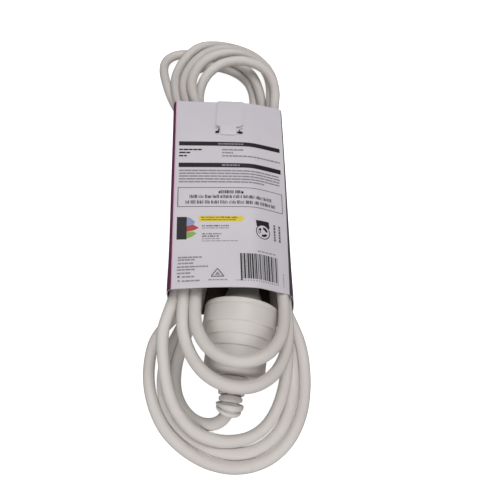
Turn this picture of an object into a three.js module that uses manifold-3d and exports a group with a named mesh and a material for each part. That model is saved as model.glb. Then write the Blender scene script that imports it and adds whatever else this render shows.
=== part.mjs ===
// Three-core extension cord, wound in a flat hank and held by a folded card sleeve, its plug pushed into its own socket.
// Millimetres, +Z up. The hank lies flat: its length runs along Y, the plug and socket lie along its middle.
import * as THREE from 'three';
import { mergeVertices } from 'three/addons/utils/BufferGeometryUtils.js';
import Module from 'manifold-3d';

const wasm = await Module();
wasm.setup();

// ---------------------------------------------------------------- driving dimensions
const ORIGIN = [5.756, 1.539, 0];            // moves the whole object so that the middle of its base is the origin
const CORD_R = 3.5;                      // 7 mm round flex, 3 x 1.0 mm2
const CORE_R = 1.25;                     // one insulated core
const SIDES = 10;                        // sides of the cord tubes

const RIM = [4.4, -76, 21.5];            // middle of the socket's open rim
const TILT = THREE.MathUtils.degToRad(8.4); // the connectors lie this far off the length of the hank
const SHROUD_R = 21.5, SHROUD_IN = 18.8, FACE = -11;  // socket shroud, and where its contact face lies below the rim
const BODY_R = 17.5, BODY_END = -40.4;
const BLOCK_R = 15, BLOCK_END = -33.5, COVER = [-33.8, -35.3];
const DISC_R = 17.5, PLUG_FACE = -10.7, PLUG_END = 24;
const CARRIER_R = 14.4, CARRIER_END = -5.6;
const RELIEF_BORE = 4.1;
const PLUG_RELIEF = [24.3, 52];

const PIN_W = 6.35, PIN_T = 1.75;        // flat blades
const PIN_LIVE = -27.8, PIN_EARTH = -30.6; // where the blades end: 17.1 mm and 19.9 mm past the plug's face
const LIVE_AT = 7.92, EARTH_AT = 10.31;  // distance of the blades' centres from the axis
const SLEEVED = 8;                       // length of the insulating sleeve on each live blade

const CARD = 0.5;                        // card thickness
const SL_Y = [-71, 65];                  // sleeve's lower and upper edge
const SIDE_Y = [-70, 65];                // its side panels are cut back a little at the lower edge
const SL_X = 36;                         // half its width
const SL_H = 44.2, SL_H_RIDGE = 40.6, SL_H_RIGHT = 29.6, RIDGE_X = 13.4; // height at the left edge, at the ridge and at the right edge, and where the ridge is
const TAB_X = [-9.3, 9.5], TAB_LEN = 29, TONGUE = [-6.1, 6.3]; // tab, and the narrower tongue at its end
const RISER_X = [-9, 9.2];               // the strip below the crease, which passes inside the turns
const GAP = 0.3;

// ---------------------------------------------------------------- helpers
const COLOURS = {
  cord: [0xd6d3ce, 0.5, 0], shell: [0xdad8d3, 0.45, 0], card: [0xcfc9d2, 0.6, 0], cardEdge: [0x62194a, 0.55, 0],
  insert: [0xe9e6df, 0.4, 0], brass: [0xc9a24a, 0.3, 1], sleeveBlack: [0x222222, 0.5, 0],
  brown: [0x6b4423, 0.5, 0], blue: [0x2b5fa8, 0.5, 0], green: [0x6f9a2e, 0.5, 0],
};
const material = (k) => new THREE.MeshStandardMaterial({ color: COLOURS[k][0], roughness: COLOURS[k][1], metalness: COLOURS[k][2] });

function weld(geometry) {
  const g = geometry.clone();
  g.deleteAttribute('normal'); g.deleteAttribute('uv');
  const flat = g.index ? g : g;
  return mergeVertices(flat, 1e-4);
}
function solid(geometry) {
  const g = weld(geometry);
  return new wasm.Manifold(new wasm.Mesh({ numProp: 3, vertProperties: new Float32Array(g.attributes.position.array), triVerts: new Uint32Array(g.index.array) }));
}
function back(manifold) {
  const m = manifold.getMesh();
  const g = new THREE.BufferGeometry();
  g.setAttribute('position', new THREE.BufferAttribute(new Float32Array(m.vertProperties), 3));
  g.setIndex(new THREE.BufferAttribute(new Uint32Array(m.triVerts), 1));
  g.computeVertexNormals();
  return g;
}
function volume(g) {
  const p = g.attributes.position, ix = g.index.array; let v = 0;
  const a = new THREE.Vector3(), b = new THREE.Vector3(), c = new THREE.Vector3();
  for (let i = 0; i < ix.length; i += 3) {
    a.fromBufferAttribute(p, ix[i]); b.fromBufferAttribute(p, ix[i + 1]); c.fromBufferAttribute(p, ix[i + 2]);
    v += a.dot(b.cross(c)) / 6;
  }
  return v;
}
// rings of equal point counts joined one to the next; the last joins the first when looped, else both ends are capped
function loft(rings, looped) {
  const n = rings[0].length, pos = [], idx = [];
  rings.forEach((r) => r.forEach((q) => pos.push(q.x, q.y, q.z)));
  const m = rings.length, last = looped ? m : m - 1;
  for (let i = 0; i < last; i++) {
    const j = (i + 1) % m;
    for (let k = 0; k < n; k++) {
      const l = (k + 1) % n;
      idx.push(i * n + k, j * n + k, j * n + l, i * n + k, j * n + l, i * n + l);
    }
  }
  if (!looped) {
    for (const [r, flip] of [[0, false], [m - 1, true]]) {
      const c = new THREE.Vector3(); rings[r].forEach((q) => c.add(q)); c.multiplyScalar(1 / n);
      const ci = pos.length / 3; pos.push(c.x, c.y, c.z);
      for (let k = 0; k < n; k++) { const l = (k + 1) % n; flip ? idx.push(ci, r * n + l, r * n + k) : idx.push(ci, r * n + k, r * n + l); }
    }
  }
  let g = new THREE.BufferGeometry();
  g.setAttribute('position', new THREE.Float32BufferAttribute(pos, 3));
  g.setIndex(idx);
  if (volume(g) < 0) { const ix = g.index.array; for (let i = 0; i < ix.length; i += 3) { const t = ix[i]; ix[i] = ix[i + 1]; ix[i + 1] = t; } }
  g.computeVertexNormals();
  return g;
}
// a turned piece about Y from [radius, y] points; the profile closes on itself or ends on the axis
function turned(profile, segments = 32) {
  const closed = profile[0][0] > 1e-6;
  const pts = profile.map(([r, y]) => new THREE.Vector2(r, y));
  if (closed) pts.push(pts[0].clone());
  const g = weld(new THREE.LatheGeometry(pts, segments));
  // remove the slivers that meet the axis
  const ix = Array.from(g.index.array), keep = [];
  for (let i = 0; i < ix.length; i += 3) if (ix[i] !== ix[i + 1] && ix[i + 1] !== ix[i + 2] && ix[i] !== ix[i + 2]) keep.push(ix[i], ix[i + 1], ix[i + 2]);
  g.setIndex(keep);
  if (volume(g) < 0) { const q = g.index.array; for (let i = 0; i < q.length; i += 3) { const t = q[i]; q[i] = q[i + 1]; q[i + 1] = t; } }
  g.computeVertexNormals();
  return g;
}
function box(w, d, h, x = 0, y = 0, z = 0) { const g = new THREE.BoxGeometry(w, d, h); g.translate(x, y, z); return g; }
function tube(points, radius, steps, sides = SIDES) {
  const path = new THREE.CatmullRomCurve3(points.map((q) => (q.isVector3 ? q : new THREE.Vector3(...q))), false, 'centripetal');
  const sh = new THREE.Shape();
  for (let i = 0; i < sides; i++) { const a = (i / sides) * 2 * Math.PI; i ? sh.lineTo(radius * Math.cos(a), radius * Math.sin(a)) : sh.moveTo(radius, 0); }
  return new THREE.ExtrudeGeometry(sh, { steps, bevelEnabled: false, extrudePath: path, curveSegments: 1 });
}
function mesh(name, geometry, colour) { const m = new THREE.Mesh(geometry, material(colour)); m.name = name; return m; }
// a bar of the flat-blade pattern: along Y from y0 to y1, w long and t thick in section, centred at [x, z], turned about Y
function bar(w, t, y0, y1, at, turn) {
  const g = new THREE.BoxGeometry(t, Math.abs(y1 - y0), w);
  g.rotateY(turn); g.translate(at[0], (y0 + y1) / 2, at[1]);
  return g;
}
const rod = (r, y0, y1, at, sides = 12) => { const g = new THREE.CylinderGeometry(r, r, Math.abs(y1 - y0), sides); g.translate(at[0], (y0 + y1) / 2, at[1]); return g; };

// blade places in the connectors' own frame (X across, Z up, Y towards the plug)
const LIVES = [
  { name: 'active', at: [-LIVE_AT * Math.cos(Math.PI / 6), LIVE_AT * Math.sin(Math.PI / 6)], turn: Math.PI / 6, end: PIN_LIVE, core: 'brown', crimp: 7.92 },
  { name: 'neutral', at: [LIVE_AT * Math.cos(Math.PI / 6), LIVE_AT * Math.sin(Math.PI / 6)], turn: -Math.PI / 6, end: PIN_LIVE, core: 'blue', crimp: 7.92 },
  { name: 'earth', at: [0, -EARTH_AT], turn: 0, end: PIN_EARTH, core: 'green', crimp: 9.0 },
];
const toward = (p, r) => { const l = Math.hypot(p.at[0], p.at[1]); return [p.at[0] / l * r, p.at[1] / l * r]; };

// ---------------------------------------------------------------- socket, fixed
const socket = new THREE.Group();
// moulded body with the shroud round the plug; open at the rim, and at the rear where the cord goes in
socket.add(mesh('socket_body', turned([
  [SHROUD_R - 0.5, 0], [SHROUD_R, -0.6], [SHROUD_R, -12.4], [SHROUD_R - 0.5, -13], [20.4, -13.2], [19.4, -19.6], [18.7, -20.2], [18.3, -25.6],
  [BODY_R + 0.1, -26.2], [BODY_R, -36.6], [16.9, -38.6], [15.4, -39.9], [13.2, BODY_END],
  [8.2, BODY_END], [BLOCK_R + 0.3, -35.6], [BLOCK_R + 0.3, FACE], [SHROUD_IN, FACE], [SHROUD_IN + 0.1, 0],
], 36), 'shell'));
// contact block: three slots in its face and a chamber behind each
{
  let b = solid(turned([[0, FACE], [BLOCK_R, FACE], [BLOCK_R, BLOCK_END], [0, BLOCK_END]], 32));
  for (const p of LIVES) {
    b = b.subtract(solid(bar(PIN_W + 0.9, PIN_T + 0.8, FACE + 1, -15, p.at, p.turn)));
    b = b.subtract(solid(bar(7.5, 5.2, -14, BLOCK_END - 1, p.at, p.turn)));
  }
  socket.add(mesh('socket_contact_block', back(b), 'insert'));
  let c = solid(turned([[0, COVER[0]], [BLOCK_R, COVER[0]], [BLOCK_R, COVER[1]], [0, COVER[1]]], 32));
  for (const p of LIVES) c = c.subtract(solid(rod(1.9, COVER[0] + 1, COVER[1] - 1, toward(p, p.crimp))));
  socket.add(mesh('socket_block_cover', back(c), 'insert'));
}
for (const p of LIVES) {
  const web = p.end - 0.8, off = 1.36, n = [Math.cos(p.turn), -Math.sin(p.turn)];
  let c = solid(bar(6.2, 0.5, -15.2, web - 0.4, [p.at[0] + n[0] * off, p.at[1] + n[1] * off], p.turn));
  c = c.add(solid(bar(6.2, 0.5, -15.2, web - 0.4, [p.at[0] - n[0] * off, p.at[1] - n[1] * off], p.turn)));
  c = c.add(solid(bar(6.2, 2 * off, web, web - 0.7, p.at, p.turn)));
  c = c.add(solid(rod(1.5, web - 0.3, -36.9, toward(p, p.crimp))));
  socket.add(mesh(`socket_contact_${p.name}`, back(c), 'brass'));
  const e = (r, y) => { const q = toward(p, r); return new THREE.Vector3(q[0], y, q[1]); };
  socket.add(mesh(`socket_core_${p.name}`, tube([e(p.crimp, -37.3), e(p.crimp - 0.1, -38), e(p.crimp * 0.84, -39.2), e(5.0, -41), e(3.0, -43.6), e(2.0, -46), e(1.95, -47.8)], CORE_R, 9, 8), p.core));
}

// ---------------------------------------------------------------- plug, slides out along the connectors' axis
const plug = new THREE.Group();
plug.add(mesh('plug_body', turned([
  [DISC_R - 0.7, PLUG_FACE], [DISC_R, PLUG_FACE + 0.7], [DISC_R, -4.4], [16.9, -3.3], [14.6, -0.6], [12.6, 3.2], [10.9, 7.2], [9.5, 11], [8.5, 15.4], [8.05, 20], [8, PLUG_END],
  [RELIEF_BORE + 0.1, PLUG_END], [RELIEF_BORE + 0.1, 19], [5.6, 14], [7.8, 8], [10.6, 2], [12.8, -5], [CARRIER_R + 0.3, -5.3], [CARRIER_R + 0.3, PLUG_FACE],
], 32), 'shell'));
{
  let b = solid(turned([[0, PLUG_FACE], [CARRIER_R, PLUG_FACE], [CARRIER_R, CARRIER_END], [0, CARRIER_END]], 32));
  for (const p of LIVES) b = b.subtract(solid(bar(PIN_W + 0.5, PIN_T + 0.5, PLUG_FACE - 1, CARRIER_END + 1, p.at, p.turn)));
  plug.add(mesh('plug_pin_carrier', back(b), 'insert'));
}
for (const p of LIVES) {
  const live = p.name !== 'earth', neck = PLUG_FACE - SLEEVED;
  let b;
  if (live) {
    b = solid(bar(PIN_W, PIN_T, neck - 0.2, p.end, p.at, p.turn));
    b = b.add(solid(bar(PIN_W - 1.2, 0.75, PLUG_FACE + 0.6, neck - 0.5, p.at, p.turn)));
    b = b.add(solid(bar(PIN_W, PIN_T, -4.9, PLUG_FACE + 0.4, p.at, p.turn)));
  } else b = solid(bar(PIN_W, PIN_T, -5.36, p.end, p.at, p.turn));
  b = b.add(solid(rod(1.5, -5.5, 1, toward(p, live ? p.crimp : 8.5))));
  plug.add(mesh(`plug_pin_${p.name}`, back(b), 'brass'));
  if (live) {
    let s = solid(bar(PIN_W, PIN_T, PLUG_FACE + 0.2, neck, p.at, p.turn));
    s = s.subtract(solid(bar(PIN_W - 0.8, 1.15, PLUG_FACE + 1, neck - 1, p.at, p.turn)));
    plug.add(mesh(`plug_pin_sleeve_${p.name}`, back(s), 'sleeveBlack'));
  }
  const e = (r, y) => { const q = toward(p, r); return new THREE.Vector3(q[0], y, q[1]); };
  plug.add(mesh(`plug_core_${p.name}`, tube([e(live ? p.crimp : 8.5, 1.35), e(live ? 7.8 : 8.3, 2.1), e(live ? 6.8 : 7.0, 4), e(5, 8), e(3.2, 13), e(2.2, 17.5), e(2.05, 21)], CORE_R, 10, 8), p.core));
}
// ribbed strain relief behind the plug
plug.add(mesh('plug_strain_relief', turned([
  [7.7, PLUG_RELIEF[0]], [7.5, 30], [6.5, 30.3], [6.5, 31.6], [7.2, 31.9], [7, 35], [6.1, 35.3], [6.1, 36.6], [6.7, 36.9], [6.5, 40], [5.6, 40.3], [5.6, 41.6], [6.1, 41.9], [5.9, 45], [5.2, 45.3], [5.2, 46.6], [5.6, 46.9], [5.2, PLUG_RELIEF[1]],
  [RELIEF_BORE, PLUG_RELIEF[1]], [RELIEF_BORE, PLUG_RELIEF[0]],
], 20), 'shell'));
// the plug's end of the cord, as far as it moves with the plug
plug.add(mesh('cord_plug_lead', tube([[0, 21.5, 0], [0, 40, 0], [0, 60, 0], [-0.4, 74, 0.2]], CORD_R, 6), 'cord'));

for (const g of [socket, plug]) { g.position.set(...RIM); g.rotation.z = -TILT; }

// ---------------------------------------------------------------- socket's strain relief and the cord that leaves it
const AXIS = new THREE.Vector3(Math.sin(TILT), Math.cos(TILT), 0);
const onAxis = (s) => new THREE.Vector3(...RIM).addScaledVector(AXIS, s);
const TAIL = [
  [-3.9, -131.0, 20.6], [-6.2, -135.2, 17.0], [-9.9, -137.7, 13.1], [-14.6, -138.5, 9.4], [-19.7, -137.6, 6.6], [-24.8, -135.1, 4.7], [-29.3, -131.2, 3.9],
  [-32.7, -126.3, 3.6], [-34.9, -120.7, 3.6], [-36.0, -114.8, 3.6], [-36.1, -108.9, 3.8], [-35.3, -102.9, 4.2], [-33.9, -97.1, 4.9], [-32.0, -91.5, 5.7], [-30.5, -87.5, 6.2],
].map((q) => new THREE.Vector3(...q));
const tailPoints = [onAxis(-40.7), onAxis(-44), onAxis(-47), onAxis(-50), onAxis(-52.6), ...TAIL];
{
  const path = new THREE.CatmullRomCurve3(tailPoints, false, 'centripetal');
  path.arcLengthDivisions = 800;
  const total = path.getLength();
  const ring = (s, r, n = 20) => {
    const u = s / total, p = path.getPointAt(u), t = path.getTangentAt(u);
    const a = new THREE.Vector3(0, 0, 1).cross(t).normalize(), b = t.clone().cross(a).normalize(), out = [];
    for (let i = 0; i < n; i++) { const w = (i / n) * 2 * Math.PI; out.push(p.clone().addScaledVector(a, r * Math.cos(w)).addScaledVector(b, r * Math.sin(w))); }
    return out;
  };
  // two ribs, a groove after each, and a fuller end where the cord comes out
  const outer = [[0, 9], [3, 8.7], [5.6, 7.6], [6.3, 7.2], [9.6, 7.1], [9.9, 5.9], [10.9, 5.9], [11.2, 6.2], [13.8, 6.1], [14.1, 5.5], [14.7, 5.5], [15, 6.9], [17.6, 7.2], [19.2, 6.5], [19.9, 5.2]];
  const inner = [[19.9, RELIEF_BORE], [15, RELIEF_BORE], [11, RELIEF_BORE], [8, RELIEF_BORE], [5.6, 4.5], [3, 6.1], [0, 7.6]];
  socket.userData.relief = mesh('socket_strain_relief', loft([...outer, ...inner].map(([s, r]) => ring(s, r)), true), 'shell');
  // cord from inside the relief, over the table and back in under the turns
  const pts = []; const from = 7.6;
  for (let i = 0; i <= 22; i++) pts.push(path.getPointAt((from + (total - from) * i / 22) / total));
  socket.userData.tail = mesh('cord_socket_tail', tube(pts, CORD_R, 26), 'cord');
}

// ---------------------------------------------------------------- the hank: plain outer shapes of the wound cord
// lower turns: a flat ring, wide at the bottom bights, narrow inside the sleeve
const HANK_Z = [GAP + CARD + 0.05, 13.5];
const OUTER = [
  [-5, -164.4], [9, -162.6], [21, -157.6], [31, -149.2], [39, -137], [43, -122], [43.9, -108], [42, -92], [38, -80], [34.8, -72.4], [34.4, -66], [34.4, -50], [34.4, 0], [34.4, 50], [34.4, 64], [34.8, 70], [36, 84], [38.2, 103], [37.6, 118], [33.6, 132], [25, 146], [13, 156], [-3, 161.2],
  [-20, 159.6], [-36, 157.2], [-49, 150.6], [-55.2, 138], [-54, 122], [-49.6, 105], [-44.6, 90], [-38.6, 77], [-35, 70], [-34.4, 63], [-34.4, 50], [-34.4, 0], [-34.4, -50], [-34.4, -65], [-35, -72], [-40, -78], [-48, -87], [-54.4, -99], [-55.2, -110], [-53.2, -124], [-47.4, -137], [-38.6, -149], [-25, -159.4],
];
const INNER = [
  [-5, -145.4], [5, -143.6], [14, -138.6], [21, -130.4], [24.4, -120], [26, -110], [27, -98], [26.8, -86], [25.6, -76], [23.8, -66], [23.4, -52], [21.2, -36], [20.8, 0], [19.6, 36], [16.6, 56], [14.6, 76], [14.6, 104], [10, 118.4], [-2.6, 129.4], [-16, 131.6], [-27, 127],
  [-29.6, 112], [-27.4, 95], [-22, 78], [-18, 64], [-15.8, 40], [-15.8, 0], [-15.8, -40], [-18, -60], [-22.6, -74], [-25.6, -82.6], [-27.2, -85.6], [-35.4, -86.4], [-37.6, -92.6], [-39.8, -101], [-40.6, -109], [-40.4, -116], [-38.8, -124], [-34.6, -132.4], [-27.6, -139.6], [-17, -144.6],
];
const rounded = (list, n) => new THREE.CatmullRomCurve3(list.map(([x, y]) => new THREE.Vector3(x, y, 0)), true, 'centripetal').getSpacedPoints(n).slice(0, n).map((v) => new THREE.Vector2(v.x, v.y));
{
  const shape = new THREE.Shape(rounded(OUTER, 84));
  shape.holes.push(new THREE.Path(rounded(INNER, 84)));
  const g = new THREE.ExtrudeGeometry(shape, { depth: HANK_Z[1] - HANK_Z[0], bevelEnabled: false, curveSegments: 1 });
  g.translate(0, 0, HANK_Z[0]);
  socket.userData.lower = mesh('cord_hank_lower', g, 'cord');
}
// upper turns: one closed loop that rides over the socket's body
const UPPER = [
  [5, -114.4, 43.8], [-7, -112.4, 43.6], [-17, -105.4, 41.6], [-24.4, -93, 38], [-26.8, -76, 35], [-25.4, -55, 32.6], [-25, 0, 32.2], [-25, 45, 31.4], [-28, 76, 28], [-30.6, 98, 24.4], [-27, 121, 21.4], [-14, 137, 20.2], [3, 139.6, 20], [18, 131, 20],
  [28, 116, 20.6], [31, 98, 21], [30.4, 74, 21.2], [30.2, 45, 21.4], [30.2, 0, 22], [30.0, -48, 22.4], [30.1, -68, 23.6], [30.8, -80, 28.4], [28.2, -94, 34.6], [20, -106.4, 40.4],
];
{
  const path = new THREE.CatmullRomCurve3(UPPER.map((q) => new THREE.Vector3(...q)), true, 'centripetal');
  const N = 54, rings = [], w = 4.5, h = 3.5, c = 1.4;
  const section = [[w, h - c], [w - c, h], [c - w, h], [-w, h - c], [-w, c - h], [c - w, -h], [w - c, -h], [w, c - h]];
  for (let i = 0; i < N; i++) {
    const p = path.getPointAt(i / N), t = path.getTangentAt(i / N), a = new THREE.Vector3(t.y, -t.x, 0).normalize(), b = a.clone().cross(t).normalize();
    if (b.z < 0) b.negate();
    rings.push(section.map(([x, y]) => p.clone().addScaledVector(a, x).addScaledVector(b, y)));
  }
  socket.userData.upper = mesh('cord_hank_upper', loft(rings, true), 'cord');
}

// ---------------------------------------------------------------- card sleeve
const sleeve = new THREE.Group();
const LEN = SL_Y[1] - SL_Y[0];
// a section in X and Z, drawn out along the sleeve
function along(section, y0, y1) {
  const sh = new THREE.Shape(section.map(([x, z]) => new THREE.Vector2(x, z)));
  const g = new THREE.ExtrudeGeometry(sh, { depth: y1 - y0, bevelEnabled: false, curveSegments: 1 });
  g.rotateX(Math.PI / 2); g.translate(0, y1, 0);
  return g;
}
const TIP = Math.atan((SL_H - SL_H_RIDGE) / (SL_X + RIDGE_X));
const topAt = (x) => (x < RIDGE_X ? SL_H - (x + SL_X) * Math.tan(TIP) : SL_H_RIDGE - (x - RIDGE_X) * (SL_H_RIDGE - SL_H_RIGHT) / (SL_X - RIDGE_X));
{
  // upper panel: nearly flat to the ridge, then down to the right; two crescent cuts hold the tab's tongue
  const line = [[-SL_X, topAt(-SL_X)], [RIDGE_X, topAt(RIDGE_X)], [SL_X, topAt(SL_X)]];
  let top = solid(along([...line.map(([x, z]) => [x, z - CARD]), ...line.slice().reverse()], SL_Y[0], SL_Y[1]));
  for (const [x, s, y] of [[-8.5, 1, 40.4], [8.7, -1, 39.6]]) {
    const cut = new THREE.Shape(); const n = 8;
    for (let i = 0; i <= n; i++) { const a = -Math.PI / 2 + Math.PI * i / n; cut[i ? 'lineTo' : 'moveTo'](s * (2.6 * Math.cos(a) - 0.4), 2.9 * Math.sin(a)); }
    for (let i = n - 1; i > 0; i--) { const a = -Math.PI / 2 + Math.PI * i / n; cut.lineTo(s * (0.9 * Math.cos(a) - 0.4), 2.9 * Math.sin(a)); }
    const g = new THREE.ExtrudeGeometry(cut, { depth: 10, bevelEnabled: false, curveSegments: 1 });
    g.translate(x, y, SL_H - 8);
    top = top.subtract(solid(g));
  }
  sleeve.add(mesh('sleeve_label_panel', back(top), 'card'));
  sleeve.add(mesh('sleeve_base_panel', box(2 * SL_X, LEN, CARD, 0, (SL_Y[0] + SL_Y[1]) / 2, CARD / 2), 'card'));
  const left = topAt(-SL_X) - CARD - 2 * GAP - CARD, right = topAt(SL_X) - CARD - 2 * GAP - CARD;
  sleeve.add(mesh('sleeve_left_panel', box(CARD, SIDE_Y[1] - SIDE_Y[0], left, -SL_X + CARD / 2, (SIDE_Y[0] + SIDE_Y[1]) / 2, CARD + GAP + left / 2), 'cardEdge'));
  sleeve.add(mesh('sleeve_right_panel', box(CARD, SIDE_Y[1] - SIDE_Y[0], right - 0.3, SL_X - CARD / 2, (SIDE_Y[0] + SIDE_Y[1]) / 2, CARD + GAP + (right - 0.3) / 2), 'cardEdge'));
  // strip that runs up between the turns from the base panel to the tab's crease
  sleeve.add(mesh('sleeve_tab_riser', box(RISER_X[1] - RISER_X[0], CARD, topAt(RISER_X[1]) - CARD - GAP, (RISER_X[0] + RISER_X[1]) / 2, SL_Y[1] + GAP + CARD / 2, CARD + (topAt(RISER_X[1]) - CARD - GAP) / 2 - 0.2), 'card'));
}
const tab = new THREE.Group();
{
  const w = (TAB_X[1] - TAB_X[0]) / 2, cx = (TAB_X[0] + TAB_X[1]) / 2, sh = new THREE.Shape();
  const L = TAB_LEN;
  const n = (TONGUE[1] - TONGUE[0]) / 2;
  [[-w, 0], [-w, -L + 7.4], [-w + 0.5, -L + 6.7], [-n - 1.1, -L + 6.1], [-n - 0.3, -L + 5.1], [-n, -L + 3.8], [-n, -L + 0.8], [-n + 0.8, -L], [n - 0.8, -L], [n, -L + 0.8], [n, -L + 3.8], [n + 0.3, -L + 5.1], [n + 1.1, -L + 6.1], [w - 0.5, -L + 6.7], [w, -L + 7.4], [w, 0]].forEach(([x, y], i) => sh[i ? 'lineTo' : 'moveTo'](x, y));
  const g = new THREE.ExtrudeGeometry(sh, { depth: CARD, bevelEnabled: false, curveSegments: 1 });
  g.translate(cx, SL_Y[1] + 0.2, GAP);
  g.rotateY(TIP);
  g.translate(0, 0, topAt(0));
  tab.add(mesh('sleeve_lock_tab', g, 'card'));
}

// ---------------------------------------------------------------- the whole object
const part = new THREE.Group();
part.add(socket, plug, socket.userData.relief, socket.userData.tail, socket.userData.lower, socket.userData.upper, sleeve, tab);
socket.userData = {};
part.position.set(...ORIGIN);
export default part;
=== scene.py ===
import math
import random
import bpy
import bmesh
import numpy as np
from mathutils import Matrix, Vector


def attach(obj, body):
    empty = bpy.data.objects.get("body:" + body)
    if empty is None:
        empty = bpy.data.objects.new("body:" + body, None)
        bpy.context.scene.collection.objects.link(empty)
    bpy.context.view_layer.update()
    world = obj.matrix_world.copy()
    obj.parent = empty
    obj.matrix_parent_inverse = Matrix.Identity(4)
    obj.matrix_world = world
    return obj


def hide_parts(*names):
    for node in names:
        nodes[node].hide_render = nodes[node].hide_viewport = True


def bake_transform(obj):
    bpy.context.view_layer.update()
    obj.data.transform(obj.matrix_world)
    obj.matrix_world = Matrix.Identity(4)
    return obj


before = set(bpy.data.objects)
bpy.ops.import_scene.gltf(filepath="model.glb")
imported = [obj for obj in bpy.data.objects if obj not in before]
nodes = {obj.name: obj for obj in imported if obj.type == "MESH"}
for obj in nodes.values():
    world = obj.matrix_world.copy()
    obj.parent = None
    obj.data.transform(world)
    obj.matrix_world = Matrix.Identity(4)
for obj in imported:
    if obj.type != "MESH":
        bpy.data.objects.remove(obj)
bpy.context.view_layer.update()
scene = bpy.context.scene
MM = 0.001
SHIFT = np.array([5.756, 1.539, 0.0])        # millimetres; the points below are given before it

# ------------------------------------------------------------------ small helpers
def srgb(r, g, b):
    f = lambda c: c / 12.92 if c <= 0.04045 else ((c + 0.055) / 1.055) ** 2.4
    return (f(r / 255), f(g / 255), f(b / 255), 1.0)

def to_m(p):
    return (np.asarray(p, float) + SHIFT) * MM

def make(name, verts, faces, mats, index=None, smooth=True, sharp=None, fix=True):
    me = bpy.data.meshes.new(name)
    me.from_pydata([tuple(map(float, v)) for v in verts], [], faces)
    for m in mats:
        me.materials.append(m)
    if index is not None:
        me.polygons.foreach_set("material_index", index)
    if fix:
        bm = bmesh.new(); bm.from_mesh(me)
        bmesh.ops.recalc_face_normals(bm, faces=bm.faces)
        bm.to_mesh(me); bm.free()
    me.polygons.foreach_set("use_smooth", [smooth] * len(me.polygons))
    if sharp is not None:
        me.set_sharp_from_angle(angle=math.radians(sharp))
    me.update()
    ob = bpy.data.objects.new(name, me)
    scene.collection.objects.link(ob)
    return ob

def spline(points, step):
    """Centripetal Catmull-Rom through points, with a ring about every step."""
    p = np.asarray(points, float)
    p = np.vstack([2 * p[0] - p[1], p, 2 * p[-1] - p[-2]])
    out = []
    for i in range(1, len(p) - 2):
        a, b, c, d = p[i - 1], p[i], p[i + 1], p[i + 2]
        t0 = 0.0
        t1 = t0 + math.sqrt(np.linalg.norm(b - a)); t2 = t1 + math.sqrt(np.linalg.norm(c - b)); t3 = t2 + math.sqrt(np.linalg.norm(d - c))
        n = max(1, int(round(np.linalg.norm(c - b) / step)))
        for k in range(n):
            t = t1 + (t2 - t1) * k / n
            a1 = (t1 - t) / (t1 - t0) * a + (t - t0) / (t1 - t0) * b
            a2 = (t2 - t) / (t2 - t1) * b + (t - t1) / (t2 - t1) * c
            a3 = (t3 - t) / (t3 - t2) * c + (t - t2) / (t3 - t2) * d
            b1 = (t2 - t) / (t2 - t0) * a1 + (t - t0) / (t2 - t0) * a2
            b2 = (t3 - t) / (t3 - t1) * a2 + (t - t1) / (t3 - t1) * a3
            out.append((t2 - t) / (t2 - t1) * b1 + (t - t1) / (t2 - t1) * b2)
    out.append(p[-2])
    return np.array(out)

def frames(path):
    t = np.gradient(path, axis=0)
    t /= np.linalg.norm(t, axis=1)[:, None]
    up = np.array([0, 0, 1.0])
    a = np.cross(up, t[0]); a /= np.linalg.norm(a)
    A, B = [], []
    for i in range(len(t)):
        a = a - t[i] * (a @ t[i]); a /= np.linalg.norm(a)
        A.append(a); B.append(np.cross(t[i], a))
    return t, np.array(A), np.array(B)

def grid_faces(rows, cols, wrap_c=True, wrap_r=False):
    f = []
    for i in range(rows if wrap_r else rows - 1):
        j = (i + 1) % rows
        for k in range(cols if wrap_c else cols - 1):
            l = (k + 1) % cols
            f.append((i * cols + k, i * cols + l, j * cols + l, j * cols + k))
    return f

# ------------------------------------------------------------------ materials
def material(name, build):
    m = bpy.data.materials.new(name)
    m.use_nodes = True
    nt = m.node_tree
    nt.nodes.clear()
    out = nt.nodes.new("ShaderNodeOutputMaterial")
    bsdf = nt.nodes.new("ShaderNodeBsdfPrincipled")
    nt.links.new(bsdf.outputs[0], out.inputs[0])
    build(nt, bsdf)
    return m

def tex(nt, kind, scale, detail=2.0, rough=0.5, stretch=None):
    co = nt.nodes.new("ShaderNodeTexCoord")
    src = co.outputs["Object"]
    if stretch:
        mp = nt.nodes.new("ShaderNodeMapping")
        mp.inputs["Scale"].default_value = stretch
        nt.links.new(src, mp.inputs["Vector"]); src = mp.outputs[0]
    n = nt.nodes.new(kind)
    n.inputs["Scale"].default_value = scale
    if "Detail" in n.inputs:
        n.inputs["Detail"].default_value = detail
    if "Roughness" in n.inputs:
        n.inputs["Roughness"].default_value = rough
    nt.links.new(src, n.inputs["Vector"])
    return n

def ramp(nt, src, stops):
    r = nt.nodes.new("ShaderNodeValToRGB")
    e = r.color_ramp.elements
    while len(e) < len(stops):
        e.new(0.5)
    for k, (pos, col) in enumerate(stops):
        e[k].position = pos
        e[k].color = col if len(col) == 4 else (*col, 1)
    nt.links.new(src, r.inputs[0])
    return r.outputs[0]

def span(nt, src, lo, hi, a=0.3, b=0.7):
    m = nt.nodes.new("ShaderNodeMapRange")
    m.inputs["From Min"].default_value = a; m.inputs["From Max"].default_value = b
    m.inputs["To Min"].default_value = lo; m.inputs["To Max"].default_value = hi
    nt.links.new(src, m.inputs["Value"])
    return m.outputs[0]

def mix(nt, fac, a, b, mode="MIX"):
    m = nt.nodes.new("ShaderNodeMix"); m.data_type = "RGBA"; m.blend_type = mode
    if isinstance(fac, (int, float)):
        m.inputs[0].default_value = fac
    else:
        nt.links.new(fac, m.inputs[0])
    for s, v in ((6, a), (7, b)):
        if isinstance(v, tuple):
            m.inputs[s].default_value = v
        else:
            nt.links.new(v, m.inputs[s])
    return m.outputs[2]

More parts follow.
